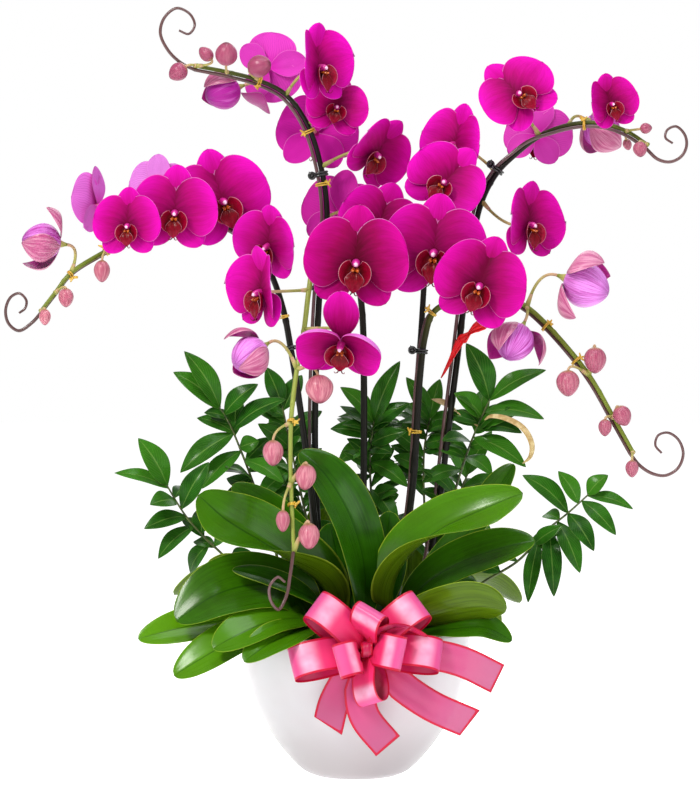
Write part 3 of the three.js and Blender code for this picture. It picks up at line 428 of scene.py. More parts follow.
class Paint:
    """The nodes of one material, or of the world."""

    def __init__(self, name: str, store: bpy.types.bpy_prop_collection | None = None) -> None:
        """Starts a material, or what another store of the file makes, without nodes."""
        self.owner = (bpy.data.materials if store is None else store).new(name)
        self.owner.use_nodes = True
        self.tree = self.owner.node_tree
        self.tree.nodes.clear()

    def node(self, kind: str, settings: dict[str, Any], inputs: dict[str | int, Any]) -> bpy.types.Node:
        """Adds a node.

        Args:
            kind: Its type.
            settings: Its settings; `stops` are the places and colours of a ramp.
            inputs: Terms, values or colour codes for its sockets.

        Returns:
            The node.
        """
        node = self.tree.nodes.new(kind)
        for key, value in settings.items():
            if key == "stops":
                for _ in value[2:]:
                    node.color_ramp.elements.new(0.5)
                for element, (position, code) in zip(node.color_ramp.elements, value):
                    element.position, element.color = position, tint(code)
            else:
                setattr(node, key, value)
        for key, value in inputs.items():
            if isinstance(value, Term):
                self.tree.links.new(value.socket, node.inputs[key])
            else:
                node.inputs[key].default_value = tint(value) if isinstance(value, str) else value
        return node

    def term(self, kind: str, settings: dict[str, Any], inputs: dict[str | int, Any],
             output: str | int = 0) -> Term:
        """Adds a node and gives one of its outputs."""
        return Term(self, self.node(kind, settings, inputs).outputs[output])

    def math(self, operation: str, one: "Term | float", two: "Term | float") -> Term:
        """Works out one operation on two values."""
        return self.term("ShaderNodeMath", {"operation": operation}, {0: one, 1: two})

    def band(self, value: Term, low: float, high: float) -> Term:
        """Rises smoothly from 0 to 1 as a value goes from low to high."""
        inputs = {"Value": value, "From Min": low, "From Max": high}
        return self.term("ShaderNodeMapRange", {"interpolation_type": "SMOOTHSTEP"}, inputs, "Result")

    def fall(self, value: Term, low: float, high: float) -> Term:
        """Falls smoothly from 1 to 0 as a value goes from low to high."""
        return 1 - self.band(value, low, high)

    def mix(self, share: "Term | float", one: "Term | str", two: "Term | str") -> Term:
        """Mixes two colours, each a term or a colour code."""
        return self.term("ShaderNodeMix", {"data_type": "RGBA"}, {0: share, 6: one, 7: two}, 2)

    def ramp(self, value: Term, stops: Stops) -> Term:
        """Colours along a value, from places and colour codes."""
        return self.term("ShaderNodeValToRGB", {"stops": stops}, {"Fac": value}, "Color")

    def sided(self, face: Term, front: Term, back: Term) -> Term:
        """One colour on the front face of a blade and another on its back."""
        return self.mix(self.band(face, 0.5, 0.75), front, back)

    def edged(self, colour: Term, rim: Term, reach: float, share: float, code: str) -> Term:
        """Lays a colour thinly along the rim of a blade, as far in as it reaches in millimetres."""
        return self.mix(self.fall(rim, 0.1, reach) * share, colour, code)

    def read(self, name: str) -> tuple[Term, Term, Term]:
        """The three numbers that each corner carries under a name."""
        vector = self.term("ShaderNodeAttribute", {"attribute_name": name}, {}, "Vector")
        parts = self.node("ShaderNodeSeparateXYZ", {}, {0: vector})
        return tuple(Term(self, socket) for socket in parts.outputs)

    def space(self) -> Term:
        """The place of a point on the piece."""
        return self.term("ShaderNodeTexCoord", {}, {}, "Object")

    def noise(self, scale: float, detail: float = 2.0, at: Term | None = None) -> Term:
        """Cloudy noise from 0 to 1, in space or over a given vector."""
        inputs = {"Vector": at or self.space(), "Scale": scale, "Detail": detail}
        return self.term("ShaderNodeTexNoise", {}, inputs)

    def grain(self, x: "Term | float", y: "Term | float", z: "Term | float", scale: float = 1.0,
              detail: float = 3.0) -> Term:
        """Cloudy noise over three values of a point, so that it can be stretched along a blade."""
        return self.noise(scale, detail, self.term("ShaderNodeCombineXYZ", {}, {0: x, 1: y, 2: z}))

    def cells(self, scale: float) -> Term:
        """Distance to the nearest of many scattered points."""
        return self.term("ShaderNodeTexVoronoi", {}, {"Vector": self.space(), "Scale": scale}, "Distance")

    def lines(self, across: Term, count: float, wander: Term) -> Term:
        """Thin lines side by side: 1 on a line and 0 between two."""
        phase = self.math("SINE", across * (math.pi * count) + wander * 5.0, 0.0)
        return self.fall(abs(phase), 0.0, 0.55)

    def coat(self, colour: "Term | str", roughness: "Term | float", height: Term | None, relief: float,
             **constants: Any) -> bpy.types.Material:
        """Finishes the material.

        Args:
            colour: Base colour, a term or a colour code.
            roughness: Roughness.
            height: What stands proud, from 0 to 1, or none.
            relief: How far it stands proud, in millimetres.
            constants: Other sockets of the shader, spaces as underlines; Alpha may be a term.

        Returns:
            The material.
        """
        inputs = {"Base Color": colour, "Roughness": roughness}
        inputs.update({key.replace("_", " "): value for key, value in constants.items()})
        if height is not None:
            bump = {"Height": height, "Distance": relief * MM, "Strength": 1.0}
            inputs["Normal"] = self.term("ShaderNodeBump", {}, bump)
        shader = self.term("ShaderNodeBsdfPrincipled", {}, inputs)
        self.node("ShaderNodeOutputMaterial", {}, {"Surface": shader})
        return self.owner


@dataclass(frozen=True)
class PetalFinish:
    """Velvety magenta, darker towards the heart partly as painted shade, with a thin painted rim highlight
    and a paler veined back.
    """

    # Dark at the heart to bright at the tips: partly the petal's own colour, partly painted shade at the
    # heart.
    plain: Stops = ((0.06, "52011f"), (0.42, "8c024a"), (0.95, "c4048a"))
    # The same ramp brightened: a painted backlit glow, mixed in by glow.
    bright: Stops = ((0.04, "86024a"), (0.35, "c40486"), (0.9, "ee10cc"))
    # Colour of the thin pale rim, a painted edge highlight.
    rim: str = "f29ae0"
    back: str = "ac0672"
    # Back colour of a bright bloom, also painted backlit glow.
    bright_back: str = "e222c0"
    pale_back: str = "e890ea"
    vein: str = "5a0136"
    back_vein: str = "a41490"

    def material(self) -> bpy.types.Material:
        """Makes the material; tone is how strong a bloom's painted backlit glow is and how pale its back
        is.
        """
        paint = Paint("petal")
        along, across, face = paint.read("where")
        glow, pale, rim = paint.read("tone")
        cloud = paint.noise(28, 2)
        wander = paint.grain(along * 1.5, across, glow * 9.0, scale=3.0, detail=2)
        streak = paint.grain(along * 2.5, across * 9.0, glow * 7.0)
        veins = paint.lines(across, 11, wander) * paint.band(along, 0.05, 0.35)
        fine = paint.lines(across, 27, wander) * paint.band(along, 0.2, 0.6)
        outward = along * (0.8 + 0.3 * abs(across))
        place_on = outward + (cloud - 0.5) * 0.35 + (streak - 0.5) * 0.3
        # glow mixes in the bright ramp: painted backlit glow.
        front = paint.mix(glow, paint.ramp(place_on, self.plain), paint.ramp(place_on, self.bright))
        front = paint.mix(veins * 0.12 + fine * 0.05, front, self.vein)
        # The back brightens with glow as well: painted backlit glow.
        behind = paint.mix(glow, self.back, self.bright_back)
        behind = paint.mix(pale * paint.band(along, -0.1, 0.5), behind, self.pale_back)
        behind = paint.mix(veins * 0.4 + fine * 0.25, behind, self.back_vein)
        colour = paint.sided(face, front, behind)
        # Painted highlight: a thin pale line along the rim.
        colour = paint.edged(colour, rim, 0.8, 0.5, self.rim)
        height = veins * 0.3 + fine * 0.15 + streak * 0.6
        return paint.coat(colour, 0.5 + cloud * 0.1, height, 0.2, Specular_IOR_Level=0.05)


@dataclass(frozen=True)
class LipFinish:
    """Glossy crimson lip with amber streaks in its throat and a thin pale rim."""

    stops: Stops = ((0.0, "3a0006"), (0.5, "78021a"), (1.0, "9c0632"))
    vein: str = "3a0006"
    amber: str = "e04c0a"
    rim: str = "eda6b8"

    def material(self) -> bpy.types.Material:
        """Makes the material; tone is how much amber a lobe shows."""
        paint = Paint("lip")
        along, across, _ = paint.read("where")
        amber, _, rim = paint.read("tone")
        wander = paint.grain(along * 2.0, across * 2.0, amber, scale=6, detail=2)
        cloud = paint.noise(260, 3)
        body = paint.ramp(along + (cloud - 0.5) * 0.5, self.stops)
        streaks = paint.lines(across, 4, wander) * paint.band(1 - along, 0.35, 0.9) * amber
        colour = paint.mix(streaks * paint.band(cloud, 0.4, 0.6) * 0.7, body, self.amber)
        veins = paint.lines(across, 9, wander)
        colour = paint.mix(veins * 0.6, colour, self.vein)
        colour = paint.mix(paint.fall(rim, 0.12, 0.65) * 0.65, colour, self.rim)
        return paint.coat(colour, 0.3, veins * 0.5 + cloud * 0.5, 0.3, Coat_Weight=0.05,
                          Coat_Roughness=0.15, Specular_IOR_Level=0.12)


@dataclass(frozen=True)
class ColumnFinish:
    """The column, pink with a pearly cap."""

    stops: Stops = ((0.1, "86044a"), (0.8, "c81e8c"))
    cap: str = "f4c2e0"

    def material(self) -> bpy.types.Material:
        """Makes the material; the first tone is 1 on the cap."""
        paint = Paint("column")
        along, _, _ = paint.read("where")
        cap, _, _ = paint.read("tone")
        colour = paint.mix(cap, paint.ramp(along, self.stops), self.cap)
        return paint.coat(colour, 0.32, paint.noise(700, 2), 0.08, Coat_Weight=0.3, Coat_Roughness=0.25)


@dataclass(frozen=True)
class CallusFinish:
    """The warty yellow callus in the throat, freckled red."""

    body: str = "c8620e"
    freckle: str = "7a0c06"

    def material(self) -> bpy.types.Material:
        """Makes the material."""
        paint = Paint("callus")
        freckles = paint.fall(paint.cells(620), 0.3, 0.55)
        colour = paint.mix(freckles, self.body, self.freckle)
        return paint.coat(colour, 0.35, freckles, 0.12, Coat_Weight=0.3)


@dataclass(frozen=True)
class BudFinish:
    """Dusty pink bud skin with fine ribs, greenish where it hangs; a sepal's inner side is magenta."""

    body: str = "c26078"
    # Lighter streak colour: partly the skin's own streaks, partly painted highlight.
    light: str = "e0949f"
    dusk: str = "94325c"
    vein: str = "7c2a45"
    ends: Stops = ((0.0, "a9824e"), (0.16, "c26078"), (0.9, "c26078"), (1.0, "6c2740"))
    sepal: str = "be4f86"
    # Lighter streak colour of a sepal: partly its own, partly painted highlight.
    sepal_light: str = "e295b6"
    inside: str = "a8127e"
    inside_vein: str = "6a0450"
    rim: str = "f0b8cc"

    def material(self) -> bpy.types.Material:
        """Makes the material; tone is how dark the skin is, and 1 where a front face is an inner side."""
        paint = Paint("bud")
        along, across, face = paint.read("where")
        dusk, opened, rim = paint.read("tone")
        streak = paint.grain(along * 2.0, across * 8.0, dusk * 7.0)
        wander = paint.grain(along * 1.6, across * 1.2, dusk * 7.0, scale=4)
        veins = paint.lines(across, 11, wander)
        low = paint.mix(opened, self.body, self.sepal)
        high = paint.mix(opened, self.light, self.sepal_light)
        # Lighter streaks, partly painted highlight.
        body = paint.mix(paint.band(streak, 0.35, 0.65), low, high)
        body = paint.mix(dusk, body, self.dusk)
        body = paint.mix(veins * 0.4, body, self.vein)
        at_ends = paint.fall(along, 0.02, 0.2) + paint.band(along, 0.88, 1.0) * 0.8
        body = paint.mix(at_ends * (1 - opened), body, paint.ramp(along, self.ends))
        inner = paint.mix(veins * 0.4, self.inside, self.inside_vein)
        colour = paint.mix(opened * paint.fall(face, 0.4, 0.6), body, inner)
        colour = paint.edged(colour, rim, 0.7, 0.5, self.rim)
        return paint.coat(colour, 0.38, veins * 0.6 + streak * 0.6, 0.4, Coat_Weight=0.25,
                          Coat_Roughness=0.25, Specular_IOR_Level=0.3)


@dataclass(frozen=True)
class FoldedPetalFinish:
    """The folded petals of an opening flower, magenta with lilac streaks that are partly painted highlight,
    and fine ribs.
    """

    body: str = "b01c98"
    # Lilac streak colour: partly the petals' own lilac, partly painted highlight.
    light: str = "ee92ee"
    vein: str = "7a0e78"

    def material(self) -> bpy.types.Material:
        """Makes the material."""
        paint = Paint("folded_petal")
        along, across, _ = paint.read("where")
        glow, _, _ = paint.read("tone")
        streak = paint.grain(along * 1.2, across * 10.0, glow * 5.0)
        wander = paint.grain(along * 2.0, across, glow * 5.0, scale=3)
        veins = paint.lines(across, 15, wander)
        # Lighter streaks, partly painted highlight; glow adds painted backlit glow.
        light = paint.band(streak + glow * 0.3, 0.4, 0.85)
        colour = paint.mix(light, self.body, self.light)
        colour = paint.mix(veins * 0.35 + paint.band(along, 0.8, 1.0) * 0.4, colour, self.vein)
        return paint.coat(colour, 0.42, veins * 0.5 + streak, 0.5, Coat_Weight=0.1, Specular_IOR_Level=0.25)


@dataclass(frozen=True)
class StemFinish:
    """Smooth stem skin, brown-black low down and olive to yellow-green where it has turned fresh."""

    stops: Stops = (
        (0.0, "0b0a06"), (0.2, "18170c"), (0.45, "343810"), (0.75, "62701f"), (1.0, "8f9c46"),
    )

    def material(self) -> bpy.types.Material:
        """Makes the material; tone is where along the stem it turns fresh, and how fresh it gets."""
        paint = Paint("stem")
        along, across, _ = paint.read("where")
        turns, fresh, _ = paint.read("tone")
        cloud = paint.noise(60, 3)
        streak = paint.grain(along * 30.0, across * 4.0, fresh * 5.0)
        age = paint.band(along - turns, -0.14, 0.12) * fresh + (cloud - 0.5) * 0.1 + streak * 0.14
        return paint.coat(
            paint.ramp(age, self.stops), 0.34 + cloud * 0.12, cloud * 0.6 + streak * 0.4, 0.12,
            Coat_Weight=0.15, Coat_Roughness=0.2, Specular_IOR_Level=0.15,
        )


@dataclass(frozen=True)
class StalkFinish:
    """Flower stalk, yellow-green at the stem and flushed pink towards the flower."""

    stops: Stops = ((0.05, "7f8a34"), (0.5, "a9a35c"), (1.0, "c39a7c"))

    def material(self) -> bpy.types.Material:
        """Makes the material."""
        paint = Paint("stalk")
        along, across, _ = paint.read("where")
        cloud = paint.noise(160, 3)
        streak = paint.grain(along * 8.0, across * 5.0, 0.0, detail=2)
        colour = paint.ramp(along + (cloud - 0.5) * 0.35, self.stops)
        return paint.coat(colour, 0.42, cloud * 0.5 + streak * 0.5, 0.12, Specular_IOR_Level=0.3)


@dataclass(frozen=True)
class PlainFinish:
    """One colour mottled towards a second, for wire, plastic, twists and dry leaf."""

    name: str
    body: str
    shade: str
    roughness: float = 0.4
    scale: float = 300.0
    relief: float = 0.08
    coat: float = 0.2

    def material(self) -> bpy.types.Material:
        """Makes the material."""
        paint = Paint(self.name)
        cloud = paint.noise(self.scale, 3)
        colour = paint.mix(paint.band(cloud, 0.3, 0.7), self.body, self.shade)
        return paint.coat(
            colour, self.roughness + (cloud - 0.5) * 0.15, cloud if self.relief else None, self.relief,
            Coat_Weight=self.coat, Coat_Roughness=0.25,
        )


@dataclass(frozen=True)
class LeafFinish:
    """Thick glossy leaf, deep green with a paler rim, fine ribs lengthwise and an olive underside."""

    # Darkest green: the dark side of the mottle, and the painted shade at the foot.
    deep: str = "0c3402"
    body: str = "286004"
    fresh: str = "609c0a"
    rim: str = "b4cc3c"
    # Colour of the painted shade in the midrib's groove.
    groove: str = "0e3404"
    under: str = "445f06"
    under_light: str = "56740a"
    shine: str = "c0e080"
    ribs: float = 21.0
    rough: float = 0.3

    def material(self) -> bpy.types.Material:
        """Makes the material; tone is how fresh a leaf is."""
        paint = Paint("orchid_leaf")
        along, across, face = paint.read("where")
        fresh, _, rim = paint.read("tone")
        cloud = paint.noise(22, 3)
        streak = paint.grain(along * 3.0, across * 16.0, fresh * 5.0)
        ribs = paint.lines(across, self.ribs, streak * 0.6)
        upper = paint.mix(paint.band(cloud + streak * 0.5, 0.45, 0.95), self.deep, self.body)
        upper = paint.mix(fresh * 0.85, upper, self.fresh)
        # Painted shade: darker towards the leaf's foot, near the crown.
        upper = paint.mix(paint.fall(along, 0.05, 0.6) * 0.5, upper, self.deep)
        upper = paint.mix(ribs * 0.1, upper, self.deep)
        # Painted shade: darker along the midrib's groove.
        groove = paint.fall(abs(across), 0.01, 0.05)
        upper = paint.mix(groove * 0.6, upper, self.groove)
        lower = paint.mix(paint.band(streak, 0.3, 0.7), self.under, self.under_light)
        colour = paint.sided(face, upper, lower)
        colour = paint.edged(colour, rim, 0.8, 0.6, self.rim)
        height = ribs * 0.3 + streak * 0.7
        return paint.coat(
            colour, self.rough + (streak - 0.5) * 0.2, height, 0.35, Coat_Weight=0.38, Coat_Roughness=0.19,
            Specular_IOR_Level=0.1, Specular_Tint=self.shine,
        )


@dataclass(frozen=True)
class LeafletFinish:
    """Thin dark leaflet with a pale midrib and feathered side veins."""

    deep: str = "0c3a08"
    body: str = "225c10"
    fresh: str = "448a1c"
    midrib: str = "86ac52"
    under: str = "3c7026"
    shine: str = "c0e0a0"

    def material(self) -> bpy.types.Material:
        """Makes the material; tone is how fresh a leaflet is."""
        paint = Paint("leaflet")
        along, across, face = paint.read("where")
        fresh, _, rim = paint.read("tone")
        cloud = paint.noise(60, 3)
        feathers = paint.lines(along - abs(across) * 0.45, 11, cloud * 0.3)
        midrib = paint.fall(abs(across), 0.02, 0.09)
        upper = paint.mix(paint.band(cloud, 0.3, 0.7), self.deep, self.body)
        upper = paint.mix(fresh * 0.8, upper, self.fresh)
        upper = paint.mix(feathers * 0.1 + midrib * 0.35, upper, self.midrib)
        lower = paint.mix(feathers * 0.25 + midrib * 0.5, self.under, self.midrib)
        colour = paint.sided(face, upper, lower)
        colour = paint.edged(colour, rim, 0.6, 0.35, self.midrib)
        height = 1 - feathers * 0.5 - midrib * 0.5 + cloud * 0.4
        return paint.coat(
            colour, 0.3 + cloud * 0.1, height, 0.3, Coat_Weight=0.15, Coat_Roughness=0.18,
            Specular_IOR_Level=0.15, Specular_Tint=self.shine,
        )


@dataclass(frozen=True)
class GlazeFinish:
    """White glaze over clay, faintly uneven, with painted shade that greys it low down."""

    body: str = "d6d6da"
    warm: str = "cfc9cc"
    # Colour of the painted shade low down on the bowl.
    low: str = "989193"

    def material(self) -> bpy.types.Material:
        """Makes the material."""
        paint = Paint("glaze")
        cloud = paint.noise(9, 3)
        fine = paint.noise(60, 2)
        colour = paint.mix(paint.band(cloud, 0.3, 0.7), self.body, self.warm)
        up, _, _ = paint.read("where")
        # Painted shade: greyer towards the bottom of the bowl.
        colour = paint.mix(paint.fall(up, 0.0, 0.7) * 0.75, colour, self.low)
        return paint.coat(
            colour, 0.26 + fine * 0.1, cloud * 0.8 + fine * 0.1, 0.4, Coat_Weight=0.35, Coat_Roughness=0.2,
        )


@dataclass(frozen=True)
class BarkFinish:
    """Damp bark chips, from red-brown to black; moss where the first tone says so."""

    stops: Stops = ((0.2, "20130b"), (0.55, "5a3a22"), (0.9, "86603c"))
    moss: str = "5d7a22"
    deep_moss: str = "2f4a10"

    def material(self) -> bpy.types.Material:
        """Makes the material."""
        paint = Paint("bark")
        moss, chip, _ = paint.read("tone")
        grain = paint.noise(240, 4)
        colour = paint.ramp(grain * 0.7 + chip * 0.4, self.stops)
        colour = paint.mix(moss, colour, paint.mix(grain, self.deep_moss, self.moss))
        return paint.coat(colour, 0.85, grain, 0.8)


@dataclass(frozen=True)
class RibbonFinish:
    """Sheer satin ribbon with woven crimson edges, painted shade deepest at the knot, and a painted pale
    sheen across a loop.
    """

    name: str
    # Colour at the knot end; on loops and tails it is painted shade where the folds gather.
    near: str
    body: str
    # Colour at the far end; on a loop it is paler, painted light through the sheer cloth.
    far: str
    edge: str = "c40434"
    # Painted highlight: the pale satin sheen across a loop.
    sheen: str = "f8d2ee"
    # Painted shade on a loop's inner face.
    inner: str = "c41c56"
    fuzz: str = "ffb0cc"
    opacity: float = 0.85
    edge_width: float = 2.6
    looped: bool = False
    threads: float = 900.0

    def material(self) -> bpy.types.Material:
        """Makes the material."""
        paint = Paint(self.name)
        along, across, face = paint.read("where")
        _, _, rim = paint.read("tone")
        cloud = paint.noise(40, 2)
        weave = paint.noise(self.threads, 1)
        threads = paint.math("SINE", across * 150.0, 0.0) * 0.25
        away = 1 - abs(along * 2.0 - 1) if self.looped else along
        # Painted shade: deepest towards the knot where the folds gather; on a loop paler towards its far
        # end, painted light through the sheer cloth.
        body = paint.mix(paint.band(away, 0.1, 0.45), self.near, self.body)
        body = paint.mix(paint.band(away, 0.5, 1.0), body, self.far)
        streak = paint.grain(along * 9.0, across * 1.2, 0.0, detail=2)
        # Painted highlight: a pale satin sheen band across a loop.
        shine = paint.band(away, 0.52, 0.66) * paint.fall(away, 0.7, 0.86)
        if self.looped:
            body = paint.mix(shine * (0.1 + streak * 0.85), body, self.sheen)
            # Painted shade on the loop's inner face.
            body = paint.mix(paint.band(face, 0.4, 0.6) * 0.8, body, self.inner)
        body = paint.mix(cloud * 0.25, body, self.near)
        edge = paint.fall(rim, self.edge_width * 0.7, self.edge_width)
        colour = paint.mix(edge, body, self.edge)
        height = weave * 0.5 + threads + edge * 1.5
        opacity = edge * (1 - self.opacity) + self.opacity
        return paint.coat(
            colour, 0.36 + weave * 0.08, height, 0.06,
            Alpha=opacity, Coat_Weight=0.2, Coat_Roughness=0.2, Sheen_Weight=0.05,
            Sheen_Tint=self.fuzz, Specular_IOR_Level=0.25,
        )


class Wardrobe:
    """Every finish, made once."""

    finishes: ClassVar[dict[str, Any]] = {
        "petal": PetalFinish(),
        "lip": LipFinish(),
        "column": ColumnFinish(),
        "callus": CallusFinish(),
        "bud": BudFinish(),
        "folded": FoldedPetalFinish(),
        "stem": StemFinish(),
        "stalk": StalkFinish(),
        "wire": PlainFinish("wire", "4c2c2a", "624040", roughness=0.3, scale=12, coat=0.4, relief=0),
        "clip": PlainFinish("clip", "0a0c09", "1a201a", roughness=0.2, coat=0.5, relief=0.03),
        "twist": PlainFinish("twist", "b98a14", "d9b63c", roughness=0.4),
        "straw": PlainFinish("straw", "d9c48e", "b08f52", roughness=0.6, scale=160, relief=0.3, coat=0),
        "leaf": LeafFinish(),
        "leaflet": LeafletFinish(),
        "twig": PlainFinish("twig", "33411c", "5d6b2c", roughness=0.5),
        "glaze": GlazeFinish(),
        "bark": BarkFinish(),
        "loop": RibbonFinish("ribbon_loop", "e61450", "e83272", "da5a9a", opacity=0.94, looped=True),
        "tail": RibbonFinish("ribbon_tail", "e02868", "d24c88", "be5a8a", opacity=0.8),
        "tag": RibbonFinish("ribbon_tag", "f4202c", "f01820", "e81418", edge="e81018", opacity=1.0),
    }

    def __init__(self) -> None:
        """Makes the materials."""
        self.made = {key: finish.material() for key, finish in self.finishes.items()}


@dataclass
class SubAssembly:
    """One group of pieces, dressed from the wardrobe."""

    wardrobe: Wardrobe

    def show(self, shape: Shape, name: str, slot: Slot, finishes: tuple[str, ...],
             *nodes: str) -> bpy.types.Object:
        """Makes a piece that rides with the plant, and stands for solids where it replaces some.

        Args:
            shape: Its corners and faces.
            name: Its name.
            slot: The record's slot that its finish stands for; not used.
            finishes: Its finishes, in the order of their numbers.
            nodes: Solids of the part that it replaces.

        Returns:
            The piece.
        """
        piece = shape.build(name, [self.wardrobe.made[finish] for finish in finishes])
        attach(piece, "root")
        if nodes:
            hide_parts(*nodes)
        log.info("%s: %d faces", name, len(piece.data.polygons))
        return piece


# Flowers


@dataclass(frozen=True)
class Flower:
    """One flower: its key, drawn place, turn, size and shade, and how its petals and sepals lie.

    It grows on the stem that its key starts with, or on spike where that is given. glow is how bright
    it is, a painted backlit glow, and pale how pale its back is. In an open bloom cup is how far the
    petals cup forward, drape how far they hang, hood how far their upper sides bend forward, and reflex
    how far the dorsal sepal leans back. In an opening flower spread is how far each sepal has parted,
    and turns where it stands round the ball.
    """

    key: str
    at: Point
    yaw: float
    pitch: float
    lean: float
    span: float
    cup: float = 0.0
    glow: float = 0.3
    pale: float = 0.3
    drape: float = 0.0
    hood: float = 0.0
    reflex: float = 0.0
    spread: Point = (0.0, 0.0, 0.0)
    turns: Point = (0.0, 125.0, 235.0)
    spike: str = ""

    def grows_on(self, key: str) -> bool:
        """Whether it grows on this stem."""
        return (self.spike or self.key[0]) == key

    def frame(self) -> tuple[Array, Array]:
        """Its axes (right, top and facing, as rows) and its centre."""
        yaw, pitch, lean = (math.radians(angle) for angle in (self.yaw, self.pitch, self.lean))
        level = math.cos(pitch)
        facing = np.array([math.sin(yaw) * level, -math.cos(yaw) * level, math.sin(pitch)])
        top = np.array([math.sin(lean), 0.0, math.cos(lean)])
        top = unit(top - facing * top.dot(facing))
        return np.array([np.cross(top, facing), top, facing]), place(self.at)


BLOOMS = [
    Flower("a1", (-88, 705, 22), 165, 10, 80, 78, 0.1, 0.8, 0.15),
    Flower("a2", (-39, 705, -18), 48, 5, -8, 90, 0.3, 0.55, 0.6),
    Flower("a3", (-20, 664, 7), 10, 15, 15, 70, 0.1, 0.25, 0.2),
    Flower("a4", (-40, 640, 42), 172, -5, 8, 92, 0.05, 0.5, 0.02),
    Flower("a5", (18, 620, -4), 38, -18, 40, 84, 0.25, 0.35, 0.5),
    Flower("a6", (-17, 560, 36), 172, 0, 12, 86, 0.05, 0.4, 0.05),
    Flower("b1", (-228, 547, -70), -5, 0, 0, 74, 0.1, 0.4, 0.5),
    Flower("b2", (-181, 560, -54), 0, 0, 3, 91, 0.05, 0.4, 0.4),
    Flower("b3", (-134, 571, -26), 12, 3, -18, 104, 0.05, 0.5, 0.2),
    Flower("b4", (-257, 567, -28), -112, 0, 12, 80, 0.2, 0.8, 0.6),
    Flower("b5", (-198, 583, 12), 172, 10, 5, 70, 0.1, 0.4, 0.95),
    Flower("c1", (0, 510, -82), 0, 0, 6, 108, 0.03, 0.0, 0.2),
    Flower("c2", (-14, 432, -122), -12, -32, 6, 98, 0.25, 0.3, 0.7, drape=15, hood=0.8,
           reflex=0.2),
    Flower("c3", (-92, 481, -92), -52, -3, 8, 92, 0.3, 0.45, 0.8),
    Flower("c4", (-86, 528, -44), -32, -14, 16, 84, 0.2, 0.5, 0.6, spike="b"),
    Flower("c5", (22, 546, -22), 12, 8, 22, 92, 0.05, 0.3, 0.3),
    Flower("d1", (163, 677, -30), -6, 16, -42, 86, 0.1, 0.45, 0.2),
    Flower("d2", (100, 628, 10), -38, 4, 20, 84, 0.15, 0.6, 0.5),
    Flower("d3", (181, 638, 38), 168, -12, 12, 78, 0.1, 0.4, 0.15),
    Flower("d4", (171, 548, -26), 40, 2, 3, 88, 0.25, 0.3, 0.8),
    Flower("d5", (254, 668, -30), 16, 8, -14, 64, 0.35, 0.25, 0.8),
    Flower("e1", (124, 487, -90), -6, 0, 20, 97, 0.05, 0.2, 0.4),
    Flower("e2", (78, 520, -58), -4, 0, 5, 112, 0.03, 0.3, 0.3),
    Flower("e3", (88, 589, -27), 2, 12, 38, 88, 0.1, 0.5, 0.3),
]
OPENINGS = [
    Flower("a", (-117, 686, 16), -70, -20, 20, 46, glow=-0.4, spread=(0.15, 1.9, 0.2),
           turns=(20, 150, 265)),
    Flower("b", (-295, 529, -47), -78, 6, 20, 48, glow=0.5, spread=(0.95, 0.05, 0.45),
           turns=(32, 112, 200)),
    Flower("c", (-92, 427, -100), -55, -30, -20, 48, glow=0.7, spread=(0.5, 0, 0.1)),
    Flower("d", (232, 652, 22), 120, -25, 10, 50, glow=0.2, spread=(0.3, 0.4, 0.2)),
    Flower("e1", (209, 495, -44), 72, -20, 4, 58, glow=0.9, spread=(0.6, 0.8, 0.7),
           turns=(-42, 222, 66)),
    Flower("e2", (166, 446, -54), -40, -50, 40, 50, glow=0.4, spread=(0.12, 0.6, 0.5),
           turns=(-80, 60, 185)),
]


@dataclass(frozen=True)
class Tepal:
    """Form of one petal or sepal of a full-sized bloom."""

    length: float
    half: float
    peak: float
    base_curve: float
    tip_curve: float
    lift: float
    droop: float
    ruffle: float
    shoulder: float = 0.0
    shoulder_curve: float = 0.28
    midrib: float = 1.1
    curl_back: float = 2.5

    def surface(self, turn_degrees: float, cup: float, phase: float, girth: float,
                hood: float = 0.0) -> Surface:
        """Its middle surface in the flower's own frame.

        Args:
            turn_degrees: How far it is turned from straight up.
            cup: How far it cups forward.
            phase: Where its ruffles start.
            girth: A share of its usual width.
            hood: How far its upper side bends forward, as a share of its half width.

        Returns:
            The surface.
        """
        turn = math.radians(turn_degrees)
        along = np.array([math.sin(turn), math.cos(turn), 0.0])
        across = np.array([math.cos(turn), -math.sin(turn), 0.0])

        def at(s: Array, w: Array) -> Array:
            """Points of the surface."""
            share = width_share(s, self.peak, self.base_curve, self.tip_curve)
            full = width_share(s, self.peak - 0.06, self.shoulder_curve, self.tip_curve)
            inner = 0.5 - 0.5 * w * math.copysign(1, turn_degrees)
            share = share + self.shoulder * (inner * (1.1 * full - share) - 0.12 * (1 - inner) * share)
            half = self.half * girth * share
            forward = self.lift + self.length * (0.1 * s + cup * s * s) - self.droop * half * w * w
            forward += self.ruffle * np.sin(5 * s + phase + 1.5 * w) * np.abs(w) ** 3 * s
            forward -= self.midrib * np.exp(-((w * 6) ** 2)) * np.sin(np.pi * np.clip(s, 0, 1))
            forward -= self.curl_back * s**5
            bent = np.clip(2 * inner - 1.1, 0, 1) ** 2
            forward += hood * half * bent
            run = self.length * s * (1 - 0.5 * cup * s)
            aside = half * w * (1 - 0.45 * hood * bent)
            return shifted(np.zeros(3), (along, run), (across, aside), (UP, forward))

        return at


